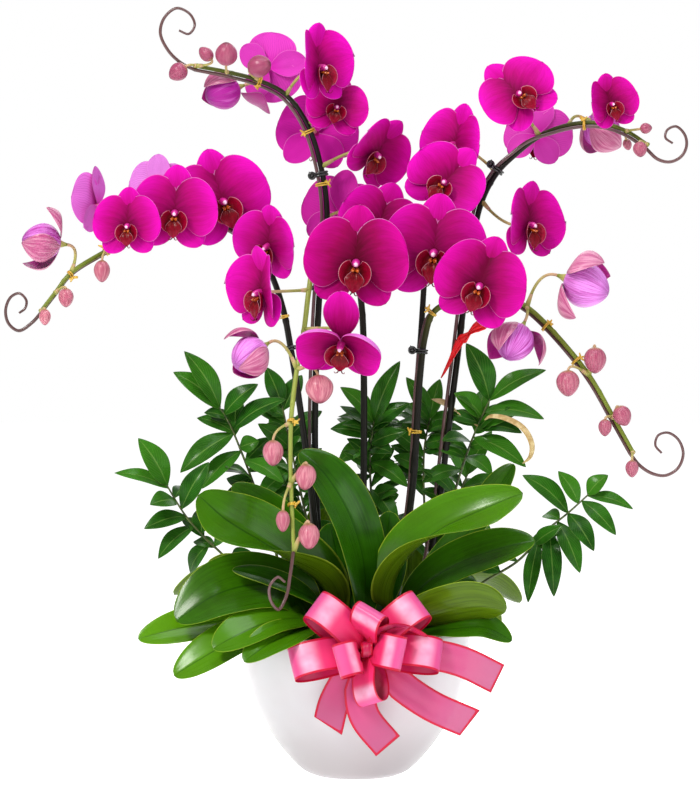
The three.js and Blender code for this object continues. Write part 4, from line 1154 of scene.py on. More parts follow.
@dataclass
class Blooms(SubAssembly):
    """The open blooms: five tepals, a lip of three lobes with its callus, and a column."""

    full_span: float = 108.0
    petal: Tepal = Tepal(52, 36, 0.55, 1.1, 0.42, 4.5, 0.07, 2.2, 1.0)
    dorsal: Tepal = Tepal(56, 19, 0.56, 0.95, 0.52, 0.8, 0.16, 1.0)
    lateral: Tepal = Tepal(48, 18.5, 0.56, 0.95, 0.52, 0.5, 0.16, 1.0)
    petal_turn: float = 79.0
    lateral_turn: float = 137.0
    thickness: float = 1.1
    ovary_depth: float = 7.0
    lobe_radius: float = 11.5
    lobe_swing: float = 1.45
    middle_lobe_halves: tuple = (2.5, 3.5, 7.5, 10, 8.4, 4.6, 0.0)
    tendril: tuple = ((1.2, -29.5, 10.5), (2.6, -32, 12), (5, -31.5, 14), (5.5, -29, 15))
    callus: tuple = ((1.8, -6.5, 9.0), (2.2, -8.5, 13.5), (3.4, -8.0, 15.5))
    callus_radii: tuple = (1.6, 1.8, 1.8, 1.6, 1.3, 1.0, 0.6)
    column: tuple = (
        (0, 0, -7), (0, 0, -3), (0, 0, 1.5), (0, -0.4, 6), (0, -1, 10), (0, -1.6, 13), (0, -2.2, 15),
    )
    column_radii: tuple = (1.5, 2.9, 4.2, 4.2, 3.9, 3.3, 1.9)
    cap_base: tuple = (0, -0.8, 12.2)
    cap_way: tuple = (0, -0.55, 0.8)
    cap_length: float = 5.4
    cap_radius: float = 2.3

    def side_lobe(self, hand: int) -> Surface:
        """One side lobe of the lip, a cup that opens towards the column.

        Args:
            hand: 1 for the right lobe, -1 for the left.

        Returns:
            Its surface: along runs out to the free rim, and across from its foot to its top.
        """

        def at(s: Array, w: Array) -> Array:
            """Points of the surface."""
            swing = self.lobe_swing * w * hand
            out = self.lobe_radius * np.cos(swing)
            top = -11 + self.lobe_radius * np.sin(swing) * 1.12
            free = np.stack([4.5 + out, top, 13.5 + 3.5 * np.cos(swing)], axis=-1)
            rise = w * hand
            root = np.stack([np.full(s.shape, 1.5), -11.5 + 6.5 * rise, 9 - rise], axis=-1)
            dip = np.stack([np.zeros(s.shape), np.zeros(s.shape), -4.5 * np.sin(np.pi * s)], axis=-1)
            points = root * (1 - s[..., None]) + free * s[..., None] + dip
            return points * np.array([hand, 1, 1])

        return at

    def middle_lobe(self, s: Array, w: Array) -> Array:
        """The trowel-shaped middle lobe of the lip.

        Args:
            s: Shares of its length, from its claw to its point.
            w: Places across it, from -1 to 1.

        Returns:
            Its points.
        """
        half = np.interp(s, [0, 0.18, 0.36, 0.55, 0.72, 0.88, 1], self.middle_lobe_halves)
        down = -6 - 24.5 * s
        forward = 9.5 + 5.5 * np.sin(np.pi * s * 0.85) - 0.16 * half * w * w - 1.2 * np.exp(-((w * 5) ** 2))
        return np.stack([half * w, down + 2.2 * w * w * np.sin(np.pi * s), forward], axis=-1)

    def heart(self, shape: Shape) -> None:
        """Adds the lip, its callus and tendrils, and the column with its cap.

        Args:
            shape: The bloom's shape, in the flower's own frame.
        """
        for hand in (1, -1):
            mirror = np.array([hand, 1, 1])
            shape.blade(self.side_lobe(hand), 12, 17, 1.0, finish=1, tone=(0.5, 0))
            tendril = curve_at(np.array(self.tendril) * mirror, even(9))
            shape.tube(tendril, np.linspace(0.7, 0.25, 9), 6, finish=1)
            callus = curve_at(np.array(self.callus) * mirror, even(7))
            shape.tube(callus, self.callus_radii, 10, finish=3)
        shape.blade(self.middle_lobe, 20, 13, 1.3, finish=1, tone=(1.0, 0))
        column = curve_at(np.array(self.column), even(19))
        girth = np.interp(np.linspace(0, 6, 19), range(7), self.column_radii)
        shape.tube(column, girth, 14, finish=2)
        base, way = np.array(self.cap_base), unit(np.array(self.cap_way))
        shape.egg(base, way, self.cap_length, self.cap_radius, finish=2, tone=(1.0, 0), sides=14, rows=10)

    def build(self) -> None:
        """Builds every open bloom in place of its solid."""
        for number, spec in enumerate(BLOOMS):
            drift = np.random.default_rng(100 + number)
            shape = Shape()
            dorsal_cup, lateral_cup = 0.5 * spec.cup - 0.04 - spec.reflex, 0.4 * spec.cup - 0.06
            petal_turn = self.petal_turn + spec.drape
            plan = [(self.dorsal, 0.01, dorsal_cup, 0.0, 26, 15)]
            plan += [(self.lateral, hand * self.lateral_turn, lateral_cup, 0.0, 22, 15) for hand in (1, -1)]
            plan += [(self.petal, hand * petal_turn, spec.cup, spec.hood, 30, 25) for hand in (1, -1)]
            for form, turn, cup, hood, rows, columns in plan:
                turned, phase = turn + drift.uniform(-3, 3), drift.uniform(0, 6.28)
                surface = form.surface(turned, cup, phase, drift.uniform(0.95, 1.04), hood)
                shape.blade(surface, rows, columns, self.thickness, tone=(spec.glow, spec.pale))
            self.heart(shape)
            axes, centre = spec.frame()
            shape.turn(axes * spec.span / self.full_span, centre)
            finishes = ("petal", "lip", "column", "callus")
            self.show(shape, f"bloom_{spec.key}_flower", Slot.PETAL, finishes, f"bloom_{spec.key}")


@dataclass
class OpeningFlowers(SubAssembly):
    """Flowers just opening: a ball of folded petals held by three parted sepals."""

    full_span: float = 50.0
    length: float = 40.0
    radius: float = 19.0
    sepal_half: float = 16.0
    sepal_bulge: float = 21.5
    sepal_swing: float = 1.1
    thickness: float = 1.5
    sides: int = 48
    fold_depth: float = 0.07
    ovary: tuple = ((0, 0, -7.0), (0, 0, -4), (0, 0, -1), (0, 0, 2), (0, 0, 6))
    ovary_radii: tuple = (1.5, 2.2, 3.4, 4.6, 5.0)

    def sepal(self, turn_degrees: float, open_share: float) -> Surface:
        """One sepal round the ball.

        Args:
            turn_degrees: Its turn from the top.
            open_share: How far it has parted from the ball.

        Returns:
            Its surface.
        """
        turn = math.radians(turn_degrees)
        out = np.array([math.sin(turn), math.cos(turn), 0.0])
        across = np.array([math.cos(turn), -math.sin(turn), 0.0])

        def at(s: Array, w: Array) -> Array:
            """Points of the surface."""
            half = self.sepal_half * width_share(s, 0.5, 0.8, 0.8)
            root = math.sin(0.1 * math.pi)
            aside = self.sepal_bulge * (np.sin(np.pi * (0.1 + 0.8 * s)) - root)
            swing = self.sepal_swing * open_share * (0.5 + 0.5 * s)
            bulge = self.sepal_bulge * root + aside * np.cos(swing) + self.length * s * np.sin(swing)
            bulge = bulge - 0.5 * (half * w) ** 2 / self.sepal_bulge
            rise = 1 + self.length * s * np.cos(swing) - aside * np.sin(swing)
            return shifted(np.zeros(3), (out, bulge), (across, half * w), (UP, rise))

        return at

    def build(self) -> None:
        """Builds each one in place of its solid."""
        turn = 2 * np.pi * np.arange(self.sides) / self.sides
        folds = 1 - self.fold_depth * np.exp(-((np.sin(turn * 1.5 + 0.4) / 0.16) ** 2))
        folds = folds + 0.012 * np.cos(12 * turn)
        for spec in OPENINGS:
            shape = Shape()
            shape.egg(np.zeros(3), UP, self.length, self.radius, finish=1, tone=(spec.glow, 0), ribs=folds,
                      sides=self.sides, rows=26)
            shape.tube(np.array(self.ovary), self.ovary_radii, 14, finish=2)
            for turn_degrees, open_share in zip(spec.turns, spec.spread):
                surface = self.sepal(turn_degrees, open_share)
                # A brighter flower's sepals are less dusky: the same painted backlit glow.
                shape.blade(surface, 24, 17, self.thickness, tone=(0.35 - 0.3 * spec.glow, 1.0))
            axes, centre = spec.frame()
            shape.turn(axes * spec.span / self.full_span, centre)
            node = f"opening_{spec.key}"
            self.show(shape, f"{node}_flower", Slot.BUD, ("bud", "folded", "stalk"), node)


# Stems and stakes


@dataclass(frozen=True)
class Bud:
    """One closed bud: its stem, the place of its base, length, width and the way it hangs."""

    spike: str
    at: Point
    length: float
    width: float
    axis: Point = (0.0, 0.0, -1.0)

    def way(self) -> Array:
        """The way it hangs, at length one."""
        return unit(np.array(self.axis))


@dataclass(frozen=True)
class Spike:
    """A stem: its points, its stake's curl and side, where and how fresh it turns, and any branch."""

    stem: tuple
    curl: tuple
    side: Point
    turns: float
    fresh: float
    branch: tuple = ()

    def line(self, count: int = 260) -> tuple[Array, Array, Array]:
        """Points, radii and headings of the stem from the mix to its tip."""
        shares = even(count)
        points = place(self.stem)
        line = curve_at(points, shares)
        radii = STEM_ROOT_RADIUS + (STEM_TIP_RADIUS - STEM_ROOT_RADIUS) * shares
        return line, radii, heading_at(points, shares)


SPIKES = {
    "a": Spike(
        ((-30, 86, 22), (-41, 330, 18), (-36, 487, 14), (-29, 556, 12), (-35, 606, 12), (-49, 649, 8),
         (-70, 678, 2), (-96, 692, -6), (-129, 701, -14), (-160, 707, -22)),
        ((-174, 714, -24), (-187, 726, -25), (-195, 743, -26), (-191, 758, -27), (-179, 767, -28),
         (-166, 761, -29), (-161, 749, -30), (-167, 740, -31), (-177, 743, -32)),
        (-0.94, 0, -0.6), 0.9, 0.6,
    ),
    "b": Spike(
        ((-22, 86, 6), (-50, 323, 4), (-65, 423, 2), (-74, 468, 0), (-88, 505, -4), (-108, 531, -8),
         (-134, 548, -13), (-170, 555, -20), (-208, 545, -28), (-250, 522, -37), (-285, 500, -44),
         (-301, 480, -48), (-315, 462, -50)),
        ((-325, 451, -51), (-338, 443, -52), (-348, 450, -53), (-351, 463, -54), (-346, 476, -55),
         (-337, 480, -56), (-330, 473, -57), (-331, 465, -58), (-337, 460, -59)),
        (-0.1, 0.9, -0.4), 0.84, 0.75,
    ),
    "c": Spike(
        ((4, 86, -8), (8, 373, -4), (5, 473, -2), (-6, 526, -10), (-24, 541, -30), (-40, 520, -54),
         (-47, 483, -68), (-52, 443, -80), (-59, 404, -92), (-65, 350, -106), (-65, 290, -121),
         (-62, 222, -136)),
        ((-65, 200, -139), (-69, 178, -143), (-77, 164, -148), (-85, 173, -155), (-86, 187, -158),
         (-78, 196, -155), (-71, 191, -150)),
        (-0.17, 0.98, 0), 0.56, 0.95,
    ),
    "d": Spike(
        ((42, 86, 26), (74, 213, 24), (98, 388, 20), (116, 528, 16), (126, 572, 14), (141, 600, 11),
         (160, 619, 8), (184, 637, 4), (213, 648, 0), (244, 650, -6), (270, 642, -12), (292, 628, -16)),
        ((304, 617, -18), (316, 614, -19), (327, 619, -20), (332, 629, -21), (330, 640, -22),
         (321, 648, -23), (312, 644, -24), (310, 636, -25), (317, 630, -26)),
        (-1, -0.1, -0.6), 0.85, 0.55,
    ),
    "e": Spike(
        ((26, 86, -6), (56, 280, -8), (64, 396, -9), (69, 436, -10), (77, 460, -12), (95, 472, -15),
         (122, 480, -20), (149, 477, -27), (171, 466, -34), (195, 444, -41), (233, 398, -51),
         (258, 355, -58), (277, 321, -63)),
        ((287, 309, -64), (299, 301, -65), (312, 299, -66), (324, 306, -67), (329, 320, -68),
         (324, 334, -69), (313, 341, -70), (303, 338, -71), (300, 328, -72), (306, 320, -73)),
        (-0.55, 0.6, -0.55), 0.56, 0.75,
        ((57, 300, -6), (60, 350, -2), (62, 398, 1), (65, 440, 2), (68, 488, 0), (70, 522, -8)),
    ),
}
BUDS = [
    Bud("a", (-170, 707, -30), 20, 18, (-0.8, 0, -0.6)),
    Bud("a", (-144, 713, -30), 17, 13, (-0.5, 0, 0.5)),
    Bud("a", (-130, 708, -30), 24, 22, (0.05, -0.5, 0.85)),
    Bud("a", (-106, 704, -20), 26, 22, (0.75, -0.6, 0.15)),
    Bud("b", (-254, 513, -48), 22, 16),
    Bud("b", (-290, 485, -56), 19, 15),
    Bud("b", (-311, 464, -60), 16, 11.5),
    Bud("c", (-38, 398, -108), 28, 27, (0.1, -0.2, -1)),
    Bud("c", (-83, 333, -114), 25, 20),
    Bud("c", (-49, 309, -126), 25, 20, (-0.1, 0, -1)),
    Bud("c", (-73, 263, -134), 21, 13.5),
    Bud("c", (-47, 250, -138), 25, 20),
    Bud("d", (284, 644, -20), 12, 11, (1, -0.2, 0.1)),
    Bud("d", (283, 631, -24), 16, 14, (0.1, -0.3, -1)),
    Bud("d", (270, 634, -2), 12, 9, (0.3, 0.4, -1)),
    Bud("e", (239, 426, -60), 26, 22),
    Bud("e", (212, 403, -62), 26, 23),
    Bud("e", (262, 367, -64), 21, 18, (0.4, 0, -0.9)),
    Bud("e", (249, 354, -68), 17, 13),
    Bud("e", (276, 313, -72), 17, 13),
]
BUD_DUSK = {"a": 0.65, "b": 0.0, "c": 0.0, "d": 0.4, "e": 0.35}


@dataclass
class Stems(SubAssembly):
    """The five flower stems with their stalks, joints and closed buds, and the wire stakes."""

    stake_radius: float = 1.8
    stalk_radius: float = 1.5
    curl_thinning: float = 0.35
    joint_spacing: float = 74.0
    joint_swell: float = 0.16
    joint_height: float = 1.6
    bud_sides: int = 40
    sheath_radii: tuple = (2.6, 2.4, 1.7)
    branch_radii: tuple[float, float] = (3.3, 2.8)

    def stalk(self, shape: Shape, spike: Spike, end: Array, arriving: Array, radius: float) -> None:
        """Adds a flower stalk, sheathed at its root, from the nearest place on a stem.

        Args:
            shape: The stem's shape.
            spike: The stem.
            end: Where the stalk ends.
            arriving: The way it runs there, at length one.
            radius: Its radius.
        """
        rooted = place(spike.stem)[2:]
        nearest = rooted[np.argmin(np.linalg.norm(rooted - end, axis=-1))]
        reach = float(np.linalg.norm(nearest - end))
        line = bow_of(nearest, end - arriving * 0.5 * reach, end, 17)
        share = even(17)
        swell = 1 + 0.55 * np.exp(-((share / 0.12) ** 2)) + 0.1 * np.exp(-(((share - 1) / 0.1) ** 2))
        shape.tube(line, radius * swell, 12, finish=2)
        shape.tube(line[[0, 1, 3]], self.sheath_radii, 12, finish=2)

    def bud(self, shape: Shape, spec: Bud, dusk: float) -> None:
        """Adds a closed bud with the seams of its three sepals and fine ribs."""
        turn = 2 * np.pi * np.arange(self.bud_sides) / self.bud_sides + dusk * 9
        seams = 1 - 0.07 * np.exp(-((np.sin(1.5 * turn) / 0.14) ** 2)) + 0.016 * np.cos(12 * turn)
        shape.egg(place(spec.at), spec.way(), spec.length, spec.width / 2, finish=1, tone=(dusk, 0),
                  ribs=seams, sides=self.bud_sides, rows=20)

    def stake_line(self, spike: Spike) -> tuple[Array, Array]:
        """The stake's middle line, a hair beside its stem and on into its curl.

        Args:
            spike: The stem.

        Returns:
            Its points and its radius at each.
        """
        line, radii, headings = spike.line()
        side = unit(np.array(spike.side))
        away = unit(side - headings * (headings @ side)[:, None])
        beside = line + away * (radii + self.stake_radius + CLEARANCE)[:, None]
        shift = beside[-1] - line[-1]
        curl = place(spike.curl)
        curl = curl + shift * (1 - np.arange(len(curl)) / len(curl))[:, None]
        onward = curve_at(np.vstack([beside[-1], curl]), even(90))[1:]
        thinning = np.linspace(0, self.curl_thinning, len(onward))
        girth = np.concatenate([np.ones(len(beside)), 1 - thinning]) * self.stake_radius
        return np.vstack([beside, onward]), girth

    def build(self) -> None:
        """Builds each stem and each stake in place of its solid."""
        for key, spike in SPIKES.items():
            shape = Shape()
            line, radii, _ = spike.line()
            run = np.concatenate([[0], np.cumsum(steps_along(line))])
            joints = np.arange(self.joint_spacing, run[-1], self.joint_spacing)
            swell = sum(np.exp(-(((run - at) / self.joint_height) ** 2)) for at in joints)
            shape.tube(line, radii * (1 + self.joint_swell * swell), 16, tone=(spike.turns, spike.fresh))
            if spike.branch:
                side = curve_at(place(spike.branch), even(60))
                shape.tube(side, np.linspace(*self.branch_radii, 60), 14, tone=(9, 0))
            for spec in [*BLOOMS, *OPENINGS]:
                if spec.grows_on(key):
                    axes, centre = spec.frame()
                    full = OpeningFlowers.full_span if spec in OPENINGS else Blooms.full_span
                    back = centre - axes[2] * (Blooms.ovary_depth * spec.span / full - 0.5)
                    self.stalk(shape, spike, back, axes[2], self.stalk_radius)
            drift = np.random.default_rng(ord(key))
            for spec in BUDS:
                if spec.spike == key:
                    end = place(spec.at) + spec.way() * 2
                    self.stalk(shape, spike, end, spec.way(), self.stalk_radius * 0.85)
                    self.bud(shape, spec, drift.uniform(0, 0.25) + BUD_DUSK[key])
            self.show(shape, f"stem_{key}_skin", Slot.STEM, ("stem", "bud", "stalk"), f"stem_{key}")
            wire = Shape()
            stake, girth = self.stake_line(spike)
            wire.tube(stake, girth, 12)
            self.show(wire, f"stake_{key}_wire", Slot.WIRE, ("wire",), f"stake_{key}")


# Ties and the red tag


class TieKind(Enum):
    """What holds a stem to its stake: a clip, or a twist of wire with four ends or, as a star, with six."""

    CLIP = "clip"
    TWIST = "twist"
    STAR = "star"


CLIP, TWIST, STAR = TieKind


@dataclass(frozen=True)
class Tie:
    """A tie by its kind, the stem it is on, where it is seen, and the side its ends stand on."""

    kind: TieKind
    spike: str
    at: tuple[float, float]
    hand: int = 1


TIES = [
    Tie(CLIP, "a", (-34, 599)), Tie(CLIP, "b", (-68, 424), -1), Tie(CLIP, "a", (-36, 483), -1),
    Tie(CLIP, "d", (141, 603)), Tie(CLIP, "e", (68, 421)), Tie(TWIST, "a", (-31, 590), -1),
    Tie(TWIST, "a", (-46, 643)), Tie(TWIST, "a", (-99, 687)), Tie(TWIST, "b", (-110, 532)),
    Tie(TWIST, "b", (-69, 458)), Tie(STAR, "e", (79, 458)), Tie(TWIST, "e", (61, 340)),
    Tie(TWIST, "d", (229, 646)), Tie(TWIST, "e", (188, 444)), Tie(TWIST, "e", (217, 411)),
    Tie(STAR, "c", (-55, 352)), Tie(TWIST, "b", (-286, 498)), Tie(TWIST, "b", (-250, 522), -1),
    Tie(TWIST, "c", (-62, 268)),
]


@dataclass(frozen=True)
class Grip:
    """Where a tie grips: its centre, the stem's heading, two ways across, the way out, half its sizes."""

    centre: Array
    heading: Array
    one: Array
    other: Array
    out: Array
    long: float
    short: float


@dataclass
class Ties(SubAssembly):
    """Black clips and yellow wire twists round the stems and their stakes."""

    clip_wire: float = 1.25
    twist_wire: float = 0.8
    reach: float = 5.5
    knob_radius: float = 3.0
    egg_length: float = 3.8
    egg_radius: float = 2.1
    front: ClassVar[Array] = np.array([0.0, -1.0, 0.0])

    def ring(self, centre: Array, one: Array, other: Array, long: float, short: float) -> Array:
        """Points of a closed oval round a centre, long one way and short the other."""
        turn = np.linspace(0, 2 * np.pi, 41)[:, None]
        return centre + one * np.cos(turn) * long + other * np.sin(turn) * short

    def clip(self, shape: Shape, grip: Grip) -> None:
        """Adds a clip: two bands, a ring with an egg-shaped knob, and a bent jaw.

        Args:
            shape: The tie's shape.
            grip: Where it grips.
        """
        for step in (-1.3, 1.3):
            middle = grip.centre + grip.heading * step
            band = self.ring(middle, grip.one, grip.other, grip.long, grip.short)
            shape.tube(band, self.clip_wire, 8)
        knob = grip.centre + grip.out * (grip.long + 2.3) + self.front * 1.5
        ring = self.ring(knob, grip.out, grip.heading, self.knob_radius, self.knob_radius)
        shape.tube(ring, self.clip_wire, 8)
        base = knob - self.front * 1.8
        shape.egg(base, self.front, self.egg_length, self.egg_radius, sides=10, rows=8)
        jaw = knob + grip.heading * 3.6
        bent = bow_of(knob, jaw + grip.out, jaw + grip.out * 2.6, 7)
        shape.tube(bent, self.clip_wire * 0.8, 8)

    def twist(self, shape: Shape, grip: Grip, ends: int, drift: np.random.Generator) -> None:
        """Adds a twist of wire: two slanted turns and its loose ends.

        Args:
            shape: The tie's shape.
            grip: Where it grips.
            ends: How many ends stand out.
            drift: Where their angles and lengths are drawn from.
        """
        for step in (-1.0, 0.6):
            tilted = grip.other + grip.heading * 0.1 * step
            middle = grip.centre + grip.heading * step
            shape.tube(self.ring(middle, grip.one, tilted, grip.long, grip.short), self.twist_wire, 7)
        root = grip.centre + grip.out * (grip.long - 1.5) + self.front * 3.4
        for k in range(ends):
            angle = drift.uniform(-1.2, 1.2) + k * 2 * math.pi / ends
            way = grip.out * (0.2 + 0.8 * math.cos(angle)) + grip.heading * math.sin(angle)
            way = way + self.front * 0.2
            reach = drift.uniform(0.55, 1.0) * self.reach
            bend = root + way * reach * 0.6 + grip.heading * drift.uniform(-1.5, 1.5)
            shape.tube(bow_of(root, bend, root + way * reach, 9), np.linspace(1.25, 0.7, 9), 7)

    def build(self) -> None:
        """Builds every tie as a piece of its own."""
        stems = Stems(self.wardrobe)
        for number, tie in enumerate(TIES):
            spike = SPIKES[tie.spike]
            line, radii, headings = spike.line()
            stake, _ = stems.stake_line(spike)
            at = int(np.argmin(np.linalg.norm(seen_at(line) - np.array(tie.at), axis=-1)))
            one, heading = unit(stake[at] - line[at]), headings[at]
            grip = Grip(
                line[at] + one * stems.stake_radius, heading, one, np.cross(heading, one),
                unit(np.cross(self.front, heading)) * tie.hand, radii[at] + 2 * stems.stake_radius + 0.2,
                radii[at] + 1.0,
            )
            shape = Shape()
            if tie.kind is CLIP:
                self.clip(shape, grip)
            else:
                self.twist(shape, grip, 6 if tie.kind is STAR else 4, np.random.default_rng(500 + number))
            finish = "clip" if tie.kind is CLIP else "twist"
            self.show(shape, f"tie_{tie.spike}_{number}", Slot.WIRE, (finish,))


# Leaves


@dataclass(frozen=True)
class Leaf:
    """One orchid leaf: its midrib's points, width, the way its upper face looks, shade and keel."""

    points: tuple
    width: float
    faces: Point
    fresh: float = 0.3
    keel: float = 0.0


@dataclass(frozen=True)
class Plant:
    """A rosette: the place of its crown in the mix, and its leaves."""

    crown: tuple[float, float]
    leaves: tuple[Leaf, ...]


PLANTS = {
    "front_left": Plant((-42, -42), (
        Leaf(((-42, 152, -44), (-64, 180, -62), (-100, 188, -84), (-140, 178, -97), (-180, 152, -104)),
              70, (-0.15, -0.8, 0.6), 0.2),
        Leaf(((-44, 148, -40), (-86, 156, -54), (-126, 153, -66), (-161, 148, -74), (-191, 141, -80),
              (-218, 134, -84)), 38, (-0.1, -0.85, 0.5), 0.95),
        Leaf(((-42, 150, -44), (-60, 160, -72), (-96, 146, -100), (-131, 128, -114), (-158, 112, -120),
              (-182, 97, -122)), 46, (-0.3, -0.8, 0.55), 0.8),
        Leaf(((-40, 148, -46), (-54, 154, -86), (-86, 151, -116), (-116, 139, -132), (-143, 124, -140)),
              46, (-0.2, -0.75, 0.62), 0.55),
        Leaf(((-40, 146, -48), (-46, 147, -88), (-66, 139, -122), (-90, 127, -142), (-112, 111, -152)),
              40, (-0.2, -0.75, 0.62), 0.45),
    )),
    "left": Plant((-20, -28), (
        Leaf(((-18, 150, -30), (-34, 188, -52), (-66, 213, -70), (-98, 233, -84), (-131, 254, -94),
              (-158, 278, -98)), 70, (0.3, -0.85, 0.4), 0.25, 1.5),
        Leaf(((-22, 150, -30), (-40, 170, -60), (-64, 184, -80), (-96, 196, -92), (-124, 203, -98)), 30,
              (0.1, -0.6, 0.8), 0.05),
        Leaf(((-20, 150, -28), (-56, 181, -46), (-81, 193, -54), (-106, 200, -58), (-129, 197, -60)), 26,
              (0, -0.5, 0.85), 0.7),
        Leaf(((-22, 150, -26), (-70, 192, -32), (-100, 207, -36), (-130, 213, -38), (-148, 211, -40)), 18,
              (0, 0.5, 0.85), 0.9),
        Leaf(((-22, 152, -24), (-48, 215, -22), (-84, 256, -22), (-124, 288, -24)), 46, (0.3, -0.8, 0.5),
              0.1),
    )),
    "middle": Plant((8, -42), (
        Leaf(((8, 150, -44), (9, 190, -58), (5, 222, -66), (-9, 263, -72), (-31, 298, -72),
              (-56, 322, -66)), 56, (0.55, -0.8, 0.25), 0.05),
        Leaf(((0, 150, -34), (-12, 188, -30), (-20, 222, -28), (-26, 250, -26)), 44, (-0.2, -0.9, 0.3),
              0.0),
        Leaf(((14, 150, -36), (22, 184, -34), (28, 214, -32), (34, 262, -28)), 46, (0.2, -0.9, 0.3), 0.0),
    )),
    "right": Plant((42, -36), (
        Leaf(((38, 150, -40), (36, 186, -56), (52, 218, -70), (84, 243, -82), (124, 262, -92),
              (167, 280, -96)), 58, (-0.35, -0.8, 0.45), 0.5, 1.5),
        Leaf(((44, 148, -36), (66, 185, -50), (100, 208, -62), (144, 224, -74), (179, 232, -80)), 50,
              (-0.2, -0.7, 0.68), 0.15),
        Leaf(((44, 146, -42), (62, 154, -80), (90, 163, -102), (122, 169, -114), (151, 165, -120)), 50,
              (0.1, 0.85, 0.5), 0.5),
        Leaf(((46, 144, -38), (70, 142, -76), (98, 144, -98), (129, 145, -108), (156, 132, -110)), 34,
              (0.1, -0.66, 0.75), 0.15),
        Leaf(((42, 150, -32), (84, 213, -22), (124, 253, -14), (142, 283, -12), (158, 309, -10)), 40,
              (-0.5, -0.65, 0.55), 0.1),
        Leaf(((46, 150, -30), (70, 178, -34), (96, 186, -40), (122, 184, -46)), 44, (0.1, -0.75, 0.65),
              0.0),
    )),
    "back_left": Plant((-38, 44), (
        Leaf(((-42, 148, 46), (-84, 190, 62), (-132, 198, 80), (-182, 178, 92)), 56, (-0.3, 0.45, 0.84)),
        Leaf(((-38, 146, 48), (-56, 172, 90), (-82, 172, 126), (-112, 148, 154)), 54, (-0.3, 0.55, 0.78)),
        Leaf(((-34, 148, 48), (-28, 204, 72), (-22, 252, 96), (-14, 284, 132)), 56, (0, 0.75, 0.66)),
    )),
    "back_right": Plant((50, 44), (
        Leaf(((52, 148, 46), (88, 184, 60), (128, 190, 80), (164, 170, 98)), 50, (0.3, 0.45, 0.84)),
        Leaf(((52, 146, 48), (84, 172, 84), (114, 168, 118), (140, 142, 142)), 52, (0.3, 0.55, 0.78)),
        Leaf(((46, 148, 48), (44, 198, 76), (40, 236, 106), (30, 254, 146)), 54, (0.1, 0.75, 0.66)),
    )),
}


@dataclass
class Rosettes(SubAssembly):
    """The orchid leaves, each plant's growing from one crown."""

    crown_radius: float = 9.0
    crown_root: float = 104.0
    crown_top: float = 159.0
    thickness: float = 2.6
    fold: float = 0.24
    least: float = 0.42
    peak: float = 0.62
    base_curve: float = 0.5
    tip_curve: float = 0.5
    groove: float = 0.9
    wave: float = 1.6
    keel_reach: float = 0.85

    def surface(self, spec: Leaf, phase: float) -> Surface:
        """A leaf's middle surface.

        Args:
            spec: The leaf.
            phase: Where the waves of its rims start.

        Returns:
            The surface.
        """
        points = place(spec.points)
        faces = unit(np.array(spec.faces))

        def at(s: Array, w: Array) -> Array:
            """Points of the surface; a keel folds both halves up towards the leaf's foot."""
            heading = heading_at(points, s)
            keeled = spec.keel * np.clip(1 - s / self.keel_reach, 0, 1)
            across = unit(np.cross(heading, faces + 1.2 * keeled[..., None] * UP))
            upper = np.cross(across, heading)
            share = width_share(s, self.peak, self.base_curve, self.tip_curve)
            share = np.where(s < self.peak, np.maximum(self.least, share), share)
            half = spec.width / 2 * share
            rise = self.fold * half * w * w - self.groove * np.exp(-((w * 9) ** 2)) * share
            rise = rise + self.wave * np.sin(5 * s + phase + w) * np.abs(w) ** 3 * share
            rise = rise + half * (np.sqrt(w * w + 0.01) - 0.1) * np.sin(keeled)
            aside = half * w * np.cos(keeled)
            return shifted(curve_at(points, s), (across, aside), (upper, rise))

        return at

    def build(self) -> None:
        """Builds each plant in place of its solid."""
        for number, (key, plant) in enumerate(PLANTS.items()):
            drift = np.random.default_rng(40 + number)
            shape = Shape()
            x, y = plant.crown
            heights = np.linspace(self.crown_root, self.crown_top, 9)
            crown = np.stack([np.full(9, x), np.full(9, y), heights], axis=-1)
            taper = np.interp(even(9), [0, 0.64, 1], [1, 1, 0.7])
            shape.tube(crown, self.crown_radius * taper, 20, tone=(0.5, 0))
            for spec in plant.leaves:
                surface = self.surface(spec, drift.uniform(0, 6.28))
                shape.blade(surface, 46, 17, self.thickness, tone=(spec.fresh, 0))
            self.show(shape, f"orchid_leaves_{key}_blades", Slot.LEAF, ("leaf",), f"orchid_leaves_{key}")


@dataclass(frozen=True)
class Spray:
    """A filler stem: its drawn points, its leaflets, and the small leaflets that are drawn by lot.

    A leaflet is its share of the way up the stem, its tip and its width. There are so many small ones,
    on a stretch between two shares.
    """

    stem: tuple
    leaflets: tuple
    many: int
    stretch: tuple[float, float]


